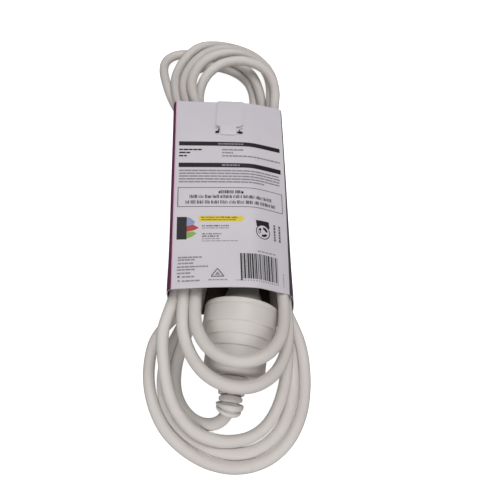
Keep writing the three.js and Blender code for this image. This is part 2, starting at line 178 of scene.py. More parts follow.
def bump(nt, bsdf, parts):
    """parts: (height socket, distance in metres, strength)"""
    last = None
    for h, dist, strength in parts:
        b = nt.nodes.new("ShaderNodeBump")
        b.inputs["Distance"].default_value = dist
        b.inputs["Strength"].default_value = strength
        nt.links.new(h, b.inputs["Height"])
        if last is not None:
            nt.links.new(last, b.inputs["Normal"])
        last = b.outputs[0]
    nt.links.new(last, bsdf.inputs["Normal"])

def moulded(name, c1, c2, dirt, rough=(0.34, 0.5), grain=2600, patch=38, spec=0.45, coat=0.0, depth=0.00003):
    """Soft moulded plastic: slow colour drift, faint scuffs, a fine matt grain."""
    def build(nt, b):
        slow = tex(nt, "ShaderNodeTexNoise", patch, 3)
        mid = tex(nt, "ShaderNodeTexNoise", patch * 5, 4, 0.6)
        scuff = tex(nt, "ShaderNodeTexNoise", patch * 9, 6, 0.7, stretch=(1, 0.25, 1))
        fine = tex(nt, "ShaderNodeTexNoise", grain, 2)
        col = mix(nt, span(nt, slow.outputs[0], 0, 1, 0.38, 0.62), c1, c2)
        col = mix(nt, span(nt, scuff.outputs[0], 0, 0.35, 0.62, 0.78), col, dirt)
        nt.links.new(col, b.inputs["Base Color"])
        nt.links.new(span(nt, mid.outputs[0], rough[0], rough[1]), b.inputs["Roughness"])
        b.inputs["Specular IOR Level"].default_value = spec
        b.inputs["Coat Weight"].default_value = coat
        bump(nt, b, [(mid.outputs[0], depth * 4, 0.35), (fine.outputs[0], depth, 0.5)])
    return material(name, build)

SHEATH = moulded("cord_sheath", srgb(217, 212, 207), srgb(211, 204, 200), srgb(190, 184, 178), rough=(0.42, 0.58), grain=2200, patch=20, spec=0.32)
SHELL = moulded("moulded_shell", srgb(215, 211, 204), srgb(211, 205, 200), srgb(186, 180, 174), rough=(0.36, 0.50), grain=2600, patch=30, spec=0.38)
INSERT = moulded("insert_block", srgb(196, 192, 184), srgb(186, 181, 172), srgb(150, 145, 136), rough=(0.5, 0.66), grain=3200, patch=45, spec=0.4)
PIN_SLEEVE = moulded("pin_sleeve", srgb(34, 34, 36), srgb(26, 26, 28), srgb(70, 68, 66), rough=(0.42, 0.6), grain=3000, patch=120)
CORE_BROWN = moulded("core_brown", srgb(104, 62, 36), srgb(92, 54, 30), srgb(130, 92, 64), rough=(0.38, 0.5), grain=3000, patch=120)
CORE_BLUE = moulded("core_blue", srgb(58, 104, 176), srgb(50, 92, 160), srgb(96, 130, 180), rough=(0.38, 0.5), grain=3000, patch=120)

def _green(nt, b):
    w = tex(nt, "ShaderNodeTexWave", 150, 0)
    w.wave_type = "BANDS"; w.bands_direction = "Z"
    n = tex(nt, "ShaderNodeTexNoise", 2600, 2)
    col = ramp(nt, w.outputs[0], [(0.42, srgb(60, 138, 48)), (0.55, srgb(214, 196, 44))])
    nt.links.new(col, b.inputs["Base Color"])
    nt.links.new(span(nt, n.outputs[0], 0.36, 0.5), b.inputs["Roughness"])
    bump(nt, b, [(n.outputs[0], 0.00002, 0.4)])
CORE_GREEN = material("core_green", _green)

def _brass(nt, b):
    brushed = tex(nt, "ShaderNodeTexNoise", 900, 4, 0.6, stretch=(1, 0.06, 1))
    spots = tex(nt, "ShaderNodeTexNoise", 160, 5, 0.65)
    col = mix(nt, span(nt, spots.outputs[0], 0, 1, 0.45, 0.72), srgb(214, 184, 112), srgb(170, 132, 74))
    nt.links.new(col, b.inputs["Base Color"])
    b.inputs["Metallic"].default_value = 1.0
    nt.links.new(span(nt, brushed.outputs[0], 0.2, 0.42), b.inputs["Roughness"])
    bump(nt, b, [(brushed.outputs[0], 0.00002, 0.35)])
BRASS = material("brass_strip", _brass)

def card(name, c1, c2, fleck, rough=(0.42, 0.55), edge=None):
    """Printed folding card: fibre flecks, a faint mottle, low gloss."""
    def build(nt, b):
        slow = tex(nt, "ShaderNodeTexNoise", 26, 3)
        fibre = tex(nt, "ShaderNodeTexNoise", 900, 5, 0.7, stretch=(1, 0.3, 1))
        fine = tex(nt, "ShaderNodeTexNoise", 3800, 3)
        rub = tex(nt, "ShaderNodeTexNoise", 210, 6, 0.75)
        col = mix(nt, span(nt, slow.outputs[0], 0, 1, 0.35, 0.65), c1, c2)
        col = mix(nt, span(nt, fibre.outputs[0], 0, 0.25, 0.6, 0.8), col, fleck)
        col = mix(nt, span(nt, rub.outputs[0], 0, 0.22, 0.66, 0.8), col, srgb(236, 230, 236))
        nt.links.new(col, b.inputs["Base Color"])
        nt.links.new(span(nt, rub.outputs[0], rough[0], rough[1]), b.inputs["Roughness"])
        b.inputs["Specular IOR Level"].default_value = 0.35
        bump(nt, b, [(slow.outputs[0], 0.0006, 0.25), (fibre.outputs[0], 0.00004, 0.5), (fine.outputs[0], 0.00001, 0.5)])
    return material(name, build)

CARD = card("card_face", srgb(212, 207, 212), srgb(207, 202, 209), srgb(197, 191, 198))
CARD_PURPLE = card("card_side_purple", srgb(104, 26, 76), srgb(95, 23, 70), srgb(120, 46, 94))
# painted shade: the right side panel gets a dark grey-purple in place of the left side's purple, standing for the shade
# on that side
CARD_RIGHT_SIDE_SHADE = card("card_side_painted_shade", srgb(72, 62, 64), srgb(62, 52, 56), srgb(92, 80, 84))
CARD_INSIDE = card("card_inside", srgb(92, 78, 70), srgb(80, 68, 61), srgb(104, 90, 82), rough=(0.6, 0.75))
CARD_EDGE = card("card_edge", srgb(205, 196, 203), srgb(188, 178, 188), srgb(170, 160, 168), rough=(0.7, 0.85))

def ink(name, c1, c2):
    def build(nt, b):
        n = tex(nt, "ShaderNodeTexNoise", 1200, 4, 0.6)
        s = tex(nt, "ShaderNodeTexNoise", 90, 3)
        nt.links.new(mix(nt, span(nt, n.outputs[0], 0, 1, 0.35, 0.7), c1, c2), b.inputs["Base Color"])
        nt.links.new(span(nt, s.outputs[0], 0.34, 0.48), b.inputs["Roughness"])
        b.inputs["Specular IOR Level"].default_value = 0.35
        bump(nt, b, [(n.outputs[0], 0.00001, 0.4)])
    return material(name, build)

# the last ink, a light pink, is used only as a painted highlight along the left crease
INKS = [ink("ink_black", srgb(20, 16, 20), srgb(27, 22, 27)), ink("ink_grey", srgb(134, 127, 137), srgb(144, 137, 146)), ink("ink_dark_grey", srgb(84, 77, 86), srgb(96, 89, 97)),
        ink("ink_yellow", srgb(226, 206, 62), srgb(216, 194, 58)), ink("ink_blue", srgb(148, 158, 190), srgb(128, 140, 180)), ink("ink_red", srgb(168, 56, 62), srgb(182, 72, 74)),
        ink("ink_green", srgb(146, 178, 84), srgb(128, 164, 72)), ink("ink_white", srgb(214, 208, 216), srgb(206, 200, 208)), ink("crease_highlight_pink", srgb(226, 172, 204), srgb(214, 158, 192))]
BLACK, GREY, DGREY, YELLOW, BLUE, RED, GREEN, WHITE, CREASE_HIGHLIGHT_PINK = range(9)

# ------------------------------------------------------------------ connectors' frame
RIM = np.array([4.4, -76.0, 21.5])
TILT = math.radians(8.4)
AXIS = np.array([math.sin(TILT), math.cos(TILT), 0.0])
SIDE = np.array([math.cos(TILT), -math.sin(TILT), 0.0])
UP = np.array([0, 0, 1.0])
on_axis = lambda s: RIM + AXIS * s

def turned(name, profile, mat, segments=120, sharp=32):
    """A closed outline of (radius, place along the axis), turned round the connectors' axis."""
    verts = []
    for i in range(segments):
        a = 2 * math.pi * i / segments
        for r, s in profile:
            verts.append(to_m(RIM + AXIS * s + SIDE * r * math.cos(a) + UP * r * math.sin(a)))
    return make(name, verts, grid_faces(segments, len(profile), True, True), [mat], sharp=sharp)

def rounded(profile, cuts):
    """Rounds the outline's corners: cuts maps a point's number to how far back the corner is cut."""
    out = []
    n = len(profile)
    for i, p in enumerate(profile):
        c = cuts.get(i, 0)
        if not c:
            out.append(p); continue
        p0, p1, p2 = (np.array(profile[(i + d) % n], float) for d in (-1, 0, 1))
        u, v = p0 - p1, p2 - p1
        a, b = p1 + u / np.linalg.norm(u) * min(c, np.linalg.norm(u) * 0.48), p1 + v / np.linalg.norm(v) * min(c, np.linalg.norm(v) * 0.48)
        for k in range(5):
            t = k / 4
            out.append(tuple((1 - t) ** 2 * a + 2 * t * (1 - t) * p1 + t * t * b))
    return out

# socket: shroud with a thin lip, two stepped tiers, rounded back
SOCKET = [
    (18.85, 0.0), (21.5, 0.0), (21.5, -2.3), (21.25, -2.6), (21.25, -3.0), (21.5, -3.3), (21.5, -13.0), (20.5, -13.3), (19.7, -19.8), (18.8, -20.1), (18.4, -25.8), (17.65, -26.1), (17.5, -36.6), (16.9, -38.6), (15.4, -39.9), (13.2, -40.4),
    (8.2, -40.4), (8.2, -38.9), (15.3, -35.6), (15.3, -11.0), (18.8, -11.0)]
socket = turned("socket_shell", rounded(SOCKET, {0: 0.5, 1: 0.7, 2: 0.15, 5: 0.15, 6: 0.9, 7: 0.55, 8: 0.8, 9: 0.45, 10: 0.75, 11: 0.4, 12: 1.4, 13: 1.2, 14: 0.9, 15: 0.8, 16: 0.3}), SHELL, 144)
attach(socket, "lead"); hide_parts("socket_body")

PLUG = [
    (15.0, -10.7), (16.8, -10.7), (17.5, -10.0), (17.5, -4.4), (16.9, -3.3), (16.0, -2.2), (14.6, -0.6), (13.5, 1.2), (12.6, 3.2), (11.7, 5.2), (10.9, 7.2), (10.1, 9.1), (9.5, 11), (9.0, 13.2), (8.5, 15.4), (8.2, 17.7), (8.05, 20), (8.0, 24.0),
    (4.25, 24.0), (4.25, 19.0), (5.6, 14.0), (7.8, 8.0), (10.6, 2.0), (12.8, -5.0), (14.7, -5.3), (14.7, -10.7)]
plug = turned("plug_shell", rounded(PLUG, {1: 0.3, 2: 0.5, 3: 0.8, 17: 0.4}), SHELL, 128)
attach(plug, "plug"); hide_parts("plug_body")

# plug's strain relief: tapered ribs with slots that alternate from groove to groove
def ribbed(path_at, outer, bore, slots, n, name):
    """outer: (place, radius); slots: (from, to, depth, first angle, how many) are cut into the grooves."""
    rows = []
    for s, r in outer:
        p, t, a, b = path_at(s)
        ring = []
        for k in range(n):
            w = 2 * math.pi * k / n
            rr = r
            for lo, hi, depth, first, many in slots:
                if lo - 1e-6 <= s <= hi + 1e-6:
                    q = math.cos(many * (w - first))
                    rr -= depth * min(1.0, max(0.0, (q + 0.25) / 0.35))
            ring.append(p + a * rr * math.cos(w) + b * rr * math.sin(w))
        rows.append(ring)
    for s, r in bore:
        p, t, a, b = path_at(s)
        rows.append([p + a * r * math.cos(2 * math.pi * k / n) + b * r * math.sin(2 * math.pi * k / n) for k in range(n)])
    verts = [to_m(v) for ring in rows for v in ring]
    return make(name, verts, grid_faces(len(rows), n, True, True), [SHELL], sharp=38)

def straight(s):
    return on_axis(s), AXIS, SIDE, UP

def softened(pairs, step=0.35):
    """Fills a ribbed outline in and rounds its steps a little."""
    s = np.arange(pairs[0][0], pairs[-1][0] + 1e-6, step)
    r = np.interp(s, [p[0] for p in pairs], [p[1] for p in pairs])
    k = np.array([1, 2, 1]) / 4
    rr = np.convolve(np.pad(r, 1, mode="edge"), k, "valid")
    return [(float(a), float(b)) for a, b in zip(s, rr)] + ([(pairs[-1][0], pairs[-1][1])] if pairs[-1][0] - s[-1] > 0.05 else [])

relief = ribbed(straight, softened([(24.3, 7.7), (30, 7.5), (30.3, 6.5), (31.6, 6.5), (31.9, 7.2), (35, 7.0), (35.3, 6.1), (36.6, 6.1), (36.9, 6.7), (40, 6.5), (40.3, 5.6), (41.6, 5.6), (41.9, 6.1), (45, 5.9), (45.3, 5.2), (46.6, 5.2), (46.9, 5.6), (51.2, 5.35), (52.0, 4.9)]),
                [(52.0, 4.1), (24.3, 4.1)], [(30.2, 31.7, 0.9, 0.0, 4), (35.2, 36.7, 0.8, math.pi / 4, 4), (40.2, 41.7, 0.6, 0.0, 4), (45.2, 46.7, 0.4, math.pi / 4, 4)], 72, "plug_relief_sleeve")
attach(relief, "plug"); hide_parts("plug_strain_relief")

TAIL = [(-3.9, -131.0, 20.6), (-6.2, -135.2, 17.0), (-9.9, -137.7, 13.1), (-14.6, -138.5, 9.4), (-19.7, -137.6, 6.6)]
bent = spline([on_axis(-40.7), on_axis(-44), on_axis(-47), on_axis(-50), on_axis(-52.6)] + [np.array(p) for p in TAIL], 0.25)
bent_s = np.concatenate([[0], np.cumsum(np.linalg.norm(np.diff(bent, axis=0), axis=1))])
bent_t = np.gradient(bent, axis=0); bent_t /= np.linalg.norm(bent_t, axis=1)[:, None]

def along_tail(s):
    p = np.array([np.interp(s, bent_s, bent[:, k]) for k in range(3)])
    t = np.array([np.interp(s, bent_s, bent_t[:, k]) for k in range(3)]); t /= np.linalg.norm(t)
    a = np.cross(UP, t); a /= np.linalg.norm(a)
    return p, t, a, np.cross(t, a)

relief2 = ribbed(along_tail, softened([(0, 9.0), (2.6, 8.7), (4.8, 8.2), (5.4, 7.7), (5.7, 5.9), (6.5, 5.9), (6.8, 7.4), (8.7, 7.3), (9.0, 5.7), (10.1, 5.7), (10.4, 6.6), (12.3, 6.5), (12.6, 5.2), (13.3, 5.2), (13.5, 7.4), (14.5, 7.8), (15.1, 7.5), (15.4, 5.8), (15.8, 5.8), (16.1, 6.9), (16.9, 7.2), (17.4, 6.7), (17.7, 5.3), (18.2, 5.0)], 0.15),
                 [(18.2, 4.1), (15, 4.1), (11, 4.1), (8, 4.1), (5.6, 4.5), (3, 6.1), (0, 7.6)],
                 [(8.9, 10.2, 1.2, math.pi / 4, 4), (5.6, 6.6, 1.1, 0.0, 4), (12.55, 13.35, 0.8, 0.0, 4)], 96, "socket_relief_sleeve")
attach(relief2, "lead"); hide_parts("socket_strain_relief")

# ------------------------------------------------------------------ the cord, in millimetres, already in the part's frame
ROUTE = np.array([
    (17.8, -23.0, 21.5), (18.2, -17.0, 21.8), (19.0, -11.1, 21.8), (20.0, -5.2, 21.6), (21.2, 0.7, 21.2), (22.3, 6.5, 20.6), (23.3, 12.4, 19.9), (24.2, 18.3, 19.2),
    (25.0, 24.2, 18.3), (25.6, 30.1, 17.5), (26.1, 36.0, 16.7), (26.3, 42.0, 16.0), (26.3, 47.9, 15.4), (25.9, 53.9, 14.7), (25.4, 59.8, 14.0), (24.7, 65.7, 13.2),
    (24.0, 71.6, 12.3), (23.6, 77.5, 11.2), (23.6, 83.4, 10.1), (23.9, 89.3, 9.1), (24.3, 95.2, 8.2), (24.3, 101.1, 7.4), (23.7, 107.1, 6.8), (22.4, 112.9, 6.3),
    (20.3, 118.5, 5.8), (17.2, 123.6, 5.3), (13.4, 128.2, 4.7), (8.9, 132.1, 4.2), (3.9, 135.3, 3.8), (-1.7, 137.6, 3.6), (-7.5, 138.8, 3.5), (-13.5, 138.6, 3.5),
    (-19.1, 136.5, 3.6), (-23.5, 132.5, 3.7), (-26.5, 127.3, 3.8), (-28.1, 121.6, 3.9), (-28.4, 115.6, 4.0), (-27.9, 109.6, 4.1), (-26.8, 103.7, 4.2),
    (-25.3, 97.9, 4.3), (-23.6, 92.2, 4.4), (-21.9, 86.4, 4.5), (-20.3, 80.6, 4.6), (-18.8, 74.8, 4.8), (-17.6, 69.0, 4.9), (-16.6, 63.0, 5.0), (-15.9, 57.1, 5.0),
    (-15.5, 51.1, 5.1), (-15.3, 45.1, 5.1), (-15.3, 39.1, 5.2), (-15.4, 33.1, 5.2), (-15.7, 27.1, 5.2), (-16.1, 21.1, 5.1), (-16.4, 15.2, 5.1), (-16.7, 9.2, 5.0),
    (-17.0, 3.2, 4.9), (-17.2, -2.8, 4.8), (-17.2, -8.8, 4.7), (-17.3, -14.8, 4.5), (-17.3, -20.8, 4.4), (-17.3, -26.8, 4.3), (-17.3, -32.8, 4.3), (-17.5, -38.8, 4.3),
    (-17.8, -44.8, 4.3), (-18.5, -50.7, 4.3), (-19.5, -56.7, 4.4), (-20.9, -62.5, 4.4), (-22.9, -68.1, 4.2), (-25.2, -73.7, 3.9), (-27.8, -79.0, 3.6),
    (-30.6, -84.4, 3.5), (-33.2, -89.8, 3.5), (-35.3, -95.4, 3.5), (-36.8, -101.2, 3.5), (-37.6, -107.1, 3.5), (-37.6, -113.1, 3.5), (-36.8, -119.0, 3.5),
    (-35.0, -124.8, 3.5), (-32.3, -130.1, 3.5), (-28.9, -135.0, 3.5), (-24.8, -139.4, 3.5), (-20.2, -143.2, 3.5), (-15.1, -146.4, 3.5), (-9.7, -149.1, 3.5),
    (-4.1, -151.0, 3.5), (1.8, -152.2, 3.5), (7.8, -152.3, 3.5), (13.7, -151.3, 3.5), (19.3, -149.1, 3.5), (24.3, -145.9, 3.5), (28.7, -141.8, 3.5), (32.2, -137.0, 3.5),
    (34.9, -131.6, 3.5), (36.8, -125.9, 3.5), (38.1, -120.1, 3.5), (38.8, -114.1, 3.5), (39.2, -108.2, 3.7), (39.2, -102.2, 4.0), (38.7, -96.2, 4.6), (37.5, -90.4, 5.4),
    (35.9, -84.6, 6.4), (34.1, -78.9, 7.5), (32.5, -73.2, 8.6), (31.4, -67.4, 9.3), (31.2, -61.4, 9.4), (31.0, -55.5, 9.1), (30.7, -49.5, 8.5), (30.6, -43.6, 7.7),
    (30.5, -37.6, 7.1), (30.4, -31.6, 6.6), (30.3, -25.7, 6.2), (30.2, -19.7, 6.0), (30.1, -13.7, 5.9), (30.0, -7.7, 5.8), (29.8, -1.7, 5.8), (29.6, 4.3, 5.8),
    (29.4, 10.3, 5.7), (29.2, 16.3, 5.6), (28.9, 22.3, 5.4), (28.6, 28.3, 5.3), (28.4, 34.3, 5.2), (28.2, 40.3, 5.1), (28.1, 46.3, 5.2), (28.3, 52.2, 5.5),
    (28.6, 58.2, 6.1), (29.2, 64.1, 7.1), (29.9, 69.9, 8.4), (30.4, 75.7, 9.8), (30.5, 81.5, 11.3), (30.2, 87.4, 12.4), (29.6, 93.3, 13.2), (28.9, 99.3, 13.5),
    (27.9, 105.2, 13.4), (26.6, 111.0, 13.1), (24.8, 116.7, 12.6), (22.3, 122.1, 12.0), (19.0, 127.1, 11.5), (15.1, 131.6, 10.9), (10.7, 135.6, 10.1), (6.0, 139.2, 9.1),
    (1.2, 142.5, 7.8), (-3.9, 145.4, 6.4), (-9.1, 148.0, 5.0), (-14.5, 150.3, 3.9), (-20.3, 152.0, 3.5), (-26.2, 153.0, 3.6), (-32.1, 152.9, 3.9), (-37.8, 151.1, 4.5),
    (-42.3, 147.3, 5.3), (-44.9, 142.0, 6.3), (-45.8, 136.2, 7.4), (-45.6, 130.3, 8.5), (-44.7, 124.5, 9.5), (-43.5, 118.7, 10.5), (-42.1, 112.9, 11.4),
    (-40.6, 107.2, 12.1), (-38.9, 101.4, 12.8), (-36.9, 95.8, 13.4), (-34.7, 90.3, 13.9), (-32.2, 84.8, 14.5), (-29.8, 79.4, 15.1), (-27.6, 73.9, 15.6),
    (-25.8, 68.1, 16.2), (-24.8, 62.2, 16.6), (-24.5, 56.3, 16.9), (-24.5, 50.3, 17.0), (-24.8, 44.3, 16.9), (-25.2, 38.3, 16.7), (-25.5, 32.3, 16.4),
    (-25.8, 26.3, 15.9), (-26.0, 20.4, 15.5), (-26.0, 14.4, 15.0), (-26.0, 8.4, 14.6), (-25.9, 2.4, 14.1), (-25.6, -3.5, 13.7), (-25.3, -9.5, 13.2),
    (-25.0, -15.5, 12.8), (-24.6, -21.5, 12.4), (-24.4, -27.5, 12.0), (-24.2, -33.4, 11.7), (-24.0, -39.4, 11.5), (-23.6, -45.4, 11.5), (-23.1, -51.4, 11.5),
    (-22.8, -57.4, 11.6), (-23.4, -63.3, 11.4), (-25.9, -68.8, 10.7), (-30.4, -73.4, 9.7), (-35.3, -77.7, 8.3), (-39.7, -82.1, 7.0), (-42.9, -86.8, 5.7),
    (-44.8, -92.0, 4.6), (-45.8, -97.6, 3.9), (-46.2, -103.5, 3.6), (-46.0, -109.5, 3.5), (-45.1, -115.5, 3.5), (-43.6, -121.3, 3.5), (-41.6, -126.9, 3.5),
    (-39.0, -132.3, 3.5), (-35.8, -137.4, 3.5), (-32.0, -142.0, 3.5), (-27.6, -146.1, 3.5), (-22.9, -149.8, 3.5), (-17.8, -153.0, 3.5), (-12.5, -155.7, 3.5),
    (-6.8, -157.7, 3.5), (-1.0, -159.0, 3.5), (5.0, -159.5, 3.5), (11.0, -159.1, 3.5), (16.8, -157.8, 3.5), (22.4, -155.6, 3.5), (27.5, -152.5, 3.5),
    (32.1, -148.6, 3.5), (36.0, -144.1, 3.5), (39.2, -139.0, 3.5), (41.8, -133.6, 3.5), (43.7, -127.9, 3.5), (45.0, -122.0, 3.5), (45.8, -116.1, 3.5),
    (46.2, -110.1, 3.5), (46.3, -104.1, 3.5), (45.9, -98.1, 3.5), (45.1, -92.2, 3.5), (43.7, -86.4, 3.5), (41.8, -80.7, 3.7), (39.7, -75.1, 3.9), (37.8, -69.4, 4.2),
    (36.8, -63.5, 4.5), (36.6, -57.5, 4.8), (36.8, -51.5, 5.0), (37.2, -45.5, 5.3), (37.4, -39.5, 5.4), (37.5, -33.5, 5.5), (37.6, -27.5, 5.5), (37.5, -21.5, 5.4),
    (37.5, -15.6, 5.3), (37.4, -9.6, 5.2), (37.3, -3.6, 5.1), (37.2, 2.4, 5.0), (37.0, 8.4, 4.9), (36.7, 14.4, 4.9), (36.5, 20.4, 4.8), (36.2, 26.4, 4.8),
    (36.0, 32.4, 4.8), (35.8, 38.4, 4.8), (35.7, 44.4, 4.9), (35.7, 50.4, 4.9), (35.8, 56.4, 4.9), (36.0, 62.4, 5.0), (36.3, 68.4, 5.0), (36.6, 74.4, 5.1),
    (37.1, 80.3, 5.1), (37.8, 86.3, 5.1), (38.5, 92.2, 5.0), (39.1, 98.2, 4.8), (39.7, 104.2, 4.7), (40.0, 110.2, 4.5), (39.9, 116.2, 4.3), (39.3, 122.1, 4.2),
    (38.1, 128.0, 4.1), (36.2, 133.7, 4.0), (33.6, 139.1, 3.9), (30.3, 144.1, 3.8), (26.4, 148.6, 3.7), (21.8, 152.5, 3.6), (16.7, 155.6, 3.6), (11.2, 157.9, 3.9),
    (5.4, 159.2, 4.6), (-0.5, 159.3, 5.7), (-6.2, 158.4, 7.2), (-11.6, 156.4, 8.9), (-16.7, 153.5, 10.2), (-21.2, 149.7, 10.9), (-25.3, 145.3, 10.8),
    (-28.7, 140.4, 10.5), (-31.5, 135.1, 10.5), (-33.6, 129.5, 10.9), (-34.9, 123.7, 11.8), (-35.4, 117.9, 13.3), (-35.3, 112.1, 15.0), (-34.7, 106.4, 16.7),
    (-33.9, 100.7, 18.3), (-32.9, 95.0, 19.7), (-31.7, 89.2, 20.8), (-30.3, 83.4, 21.6), (-28.7, 77.7, 22.2), (-27.1, 71.9, 22.8), (-25.9, 66.1, 23.4),
    (-25.2, 60.2, 24.1), (-25.1, 54.2, 24.8), (-25.2, 48.3, 25.4), (-25.5, 42.3, 26.0), (-25.7, 36.3, 26.5), (-25.9, 30.3, 26.9), (-26.0, 24.3, 27.2),
    (-26.0, 18.4, 27.4), (-26.0, 12.4, 27.6), (-26.0, 6.4, 27.7), (-26.0, 0.4, 27.8), (-26.0, -5.6, 27.9), (-26.0, -11.6, 28.1), (-26.0, -17.6, 28.4),
    (-26.2, -23.6, 28.7), (-26.5, -29.6, 29.2), (-26.7, -35.6, 29.7), (-26.9, -41.6, 30.2), (-27.1, -47.6, 30.6), (-27.4, -53.5, 31.1), (-27.5, -59.5, 31.5),
    (-27.7, -65.5, 32.0), (-28.9, -71.3, 32.0), (-30.8, -76.9, 31.4), (-32.9, -82.4, 29.9), (-34.7, -87.8, 27.3), (-35.3, -93.3, 24.3), (-35.3, -98.8, 21.3),
    (-34.9, -104.3, 18.7), (-34.3, -110.0, 16.8), (-33.2, -115.7, 15.2), (-31.6, -121.3, 13.9), (-29.4, -126.8, 13.0), (-26.3, -131.9, 12.3), (-22.6, -136.5, 11.6),
    (-18.1, -140.4, 10.9), (-12.9, -143.3, 10.0), (-7.3, -145.1, 8.9), (-1.5, -146.0, 7.8), (4.4, -145.9, 6.6), (10.2, -144.9, 5.5), (15.7, -142.7, 4.8),
    (20.7, -139.4, 4.6), (24.8, -135.1, 5.0), (28.1, -130.1, 5.8), (30.6, -124.8, 6.7), (32.6, -119.2, 7.7), (34.1, -113.5, 8.6), (35.2, -107.6, 9.5),
    (36.0, -101.8, 10.5), (36.4, -95.9, 11.6), (36.7, -90.0, 12.7), (36.8, -84.1, 13.6), (37.0, -78.1, 13.8), (37.1, -72.2, 13.6), (37.3, -66.2, 13.6),
    (37.5, -60.2, 13.3), (37.5, -54.2, 13.0), (37.6, -48.2, 12.8), (37.6, -42.2, 12.6), (37.6, -36.2, 12.4), (37.6, -30.2, 12.4), (37.6, -24.3, 12.4),
    (37.6, -18.3, 12.3), (37.6, -12.3, 12.2), (37.5, -6.3, 12.1), (37.5, -0.3, 12.0), (37.4, 5.7, 11.9), (37.3, 11.7, 11.8), (37.2, 17.7, 11.8), (37.0, 23.7, 11.7),
    (36.9, 29.7, 11.7), (36.7, 35.7, 11.7), (36.6, 41.7, 11.8), (36.5, 47.7, 11.8), (36.6, 53.7, 11.9), (36.7, 59.7, 12.0), (37.0, 65.7, 12.1), (37.4, 71.7, 12.1),
    (38.0, 77.6, 12.1), (38.7, 83.6, 12.1), (39.4, 89.5, 12.0), (40.0, 95.5, 11.9), (40.4, 101.5, 11.7), (40.4, 107.5, 11.5), (39.9, 113.5, 11.4), (38.8, 119.3, 11.2),
    (36.9, 125.0, 11.0), (34.3, 130.4, 10.9), (30.9, 135.3, 10.8), (26.7, 139.7, 10.8), (21.9, 143.2, 11.1), (16.5, 145.9, 11.5), (10.8, 147.5, 12.0),
    (4.9, 147.9, 12.7), (-1.0, 147.0, 13.4), (-6.6, 144.9, 13.9), (-11.6, 141.7, 14.4), (-15.9, 137.5, 15.0), (-19.5, 132.8, 15.7), (-22.4, 127.6, 16.5),
    (-24.5, 122.1, 17.6), (-26.1, 116.5, 18.9), (-27.1, 110.7, 20.3), (-27.4, 104.9, 21.8), (-27.3, 99.1, 23.3), (-26.7, 93.3, 24.7), (-25.8, 87.5, 25.9),
    (-24.6, 81.8, 27.0), (-23.4, 76.0, 27.9), (-22.1, 70.1, 28.6), (-21.0, 64.3, 29.1), (-20.1, 58.3, 29.5), (-19.5, 52.4, 29.8), (-19.1, 46.4, 30.0),
    (-19.0, 40.4, 30.2), (-19.0, 34.4, 30.3), (-19.1, 28.4, 30.5), (-19.3, 22.4, 30.6), (-19.6, 16.4, 30.8), (-19.8, 10.5, 30.9), (-19.9, 4.5, 31.1),
    (-20.1, -1.5, 31.4), (-20.2, -7.5, 31.6), (-20.3, -13.5, 31.9), (-20.3, -19.5, 32.3), (-20.4, -25.5, 32.7), (-20.4, -31.5, 33.1), (-20.6, -37.4, 33.7),
    (-20.8, -43.4, 34.3), (-21.0, -49.4, 34.9), (-21.3, -55.3, 35.4), (-21.8, -61.3, 35.7), (-22.3, -67.3, 35.6), (-22.7, -73.3, 35.2), (-23.0, -79.3, 34.8),
    (-22.9, -85.4, 34.4), (-22.2, -91.5, 34.2), (-20.6, -97.6, 34.3), (-18.2, -103.4, 34.6), (-15.0, -108.8, 35.3), (-11.0, -113.7, 36.0), (-6.1, -117.7, 36.6),
    (-0.4, -120.7, 37.0), (5.8, -122.4, 36.9), (12.1, -122.5, 36.0), (17.9, -121.0, 34.3), (22.9, -118.1, 32.1), (27.0, -114.4, 29.7), (30.3, -109.9, 27.3),
    (32.9, -104.9, 25.1), (34.8, -99.5, 23.3), (36.1, -93.8, 22.0), (36.7, -87.9, 21.1), (36.7, -81.9, 20.6), (36.6, -75.9, 20.6), (36.4, -69.9, 20.6),
    (36.9, -64.0, 20.5), (37.1, -58.0, 20.2), (37.1, -52.0, 19.9), (36.9, -46.0, 19.7), (36.7, -40.0, 19.5), (36.5, -34.0, 19.4), (36.5, -28.0, 19.4),
    (36.4, -22.1, 19.4), (36.4, -16.1, 19.3), (36.3, -10.1, 19.2), (36.3, -4.1, 19.1), (36.2, 1.9, 19.1), (36.1, 7.9, 19.0), (36.0, 13.9, 19.0), (35.8, 19.9, 18.9),
    (35.6, 25.9, 18.9), (35.5, 31.9, 18.9), (35.3, 37.9, 18.9), (35.1, 43.9, 18.9), (34.9, 49.9, 19.0), (34.7, 55.9, 19.0), (34.7, 61.9, 19.0), (34.8, 67.9, 19.0),
    (35.0, 73.9, 19.0), (35.5, 79.9, 18.9), (36.0, 85.8, 18.7), (36.5, 91.8, 18.5), (36.8, 97.8, 18.2), (36.7, 103.8, 18.0), (36.1, 109.7, 17.8), (34.6, 115.6, 17.7),
    (32.4, 121.1, 17.7), (29.2, 126.2, 17.8), (25.1, 130.5, 17.9), (20.2, 133.9, 18.1), (14.6, 136.1, 18.4), (8.7, 136.8, 18.9), (2.8, 135.9, 19.6), (-2.6, 133.6, 20.5),
    (-7.4, 130.1, 21.5), (-11.4, 125.8, 22.7), (-14.6, 120.9, 23.9), (-17.1, 115.6, 25.2), (-18.9, 110.0, 26.4), (-20.1, 104.3, 27.7), (-20.8, 98.4, 28.9),
    (-20.7, 92.6, 30.0), (-20.1, 86.7, 31.0), (-18.9, 80.8, 31.7), (-17.5, 75.0, 32.2), (-15.9, 69.3, 32.5), (-14.4, 63.4, 32.6), (-13.2, 57.6, 32.5),
    (-12.3, 51.6, 32.5), (-11.8, 45.7, 32.5), (-11.5, 39.7, 32.5), (-11.6, 33.7, 32.5), (-11.8, 27.7, 32.6), (-12.1, 21.7, 32.7), (-12.4, 15.7, 32.8),
    (-12.7, 9.7, 32.9), (-13.0, 3.7, 33.0), (-13.1, -2.3, 33.1), (-13.2, -8.3, 33.2), (-13.3, -14.3, 33.3), (-13.3, -20.3, 33.4), (-13.3, -26.3, 33.4),
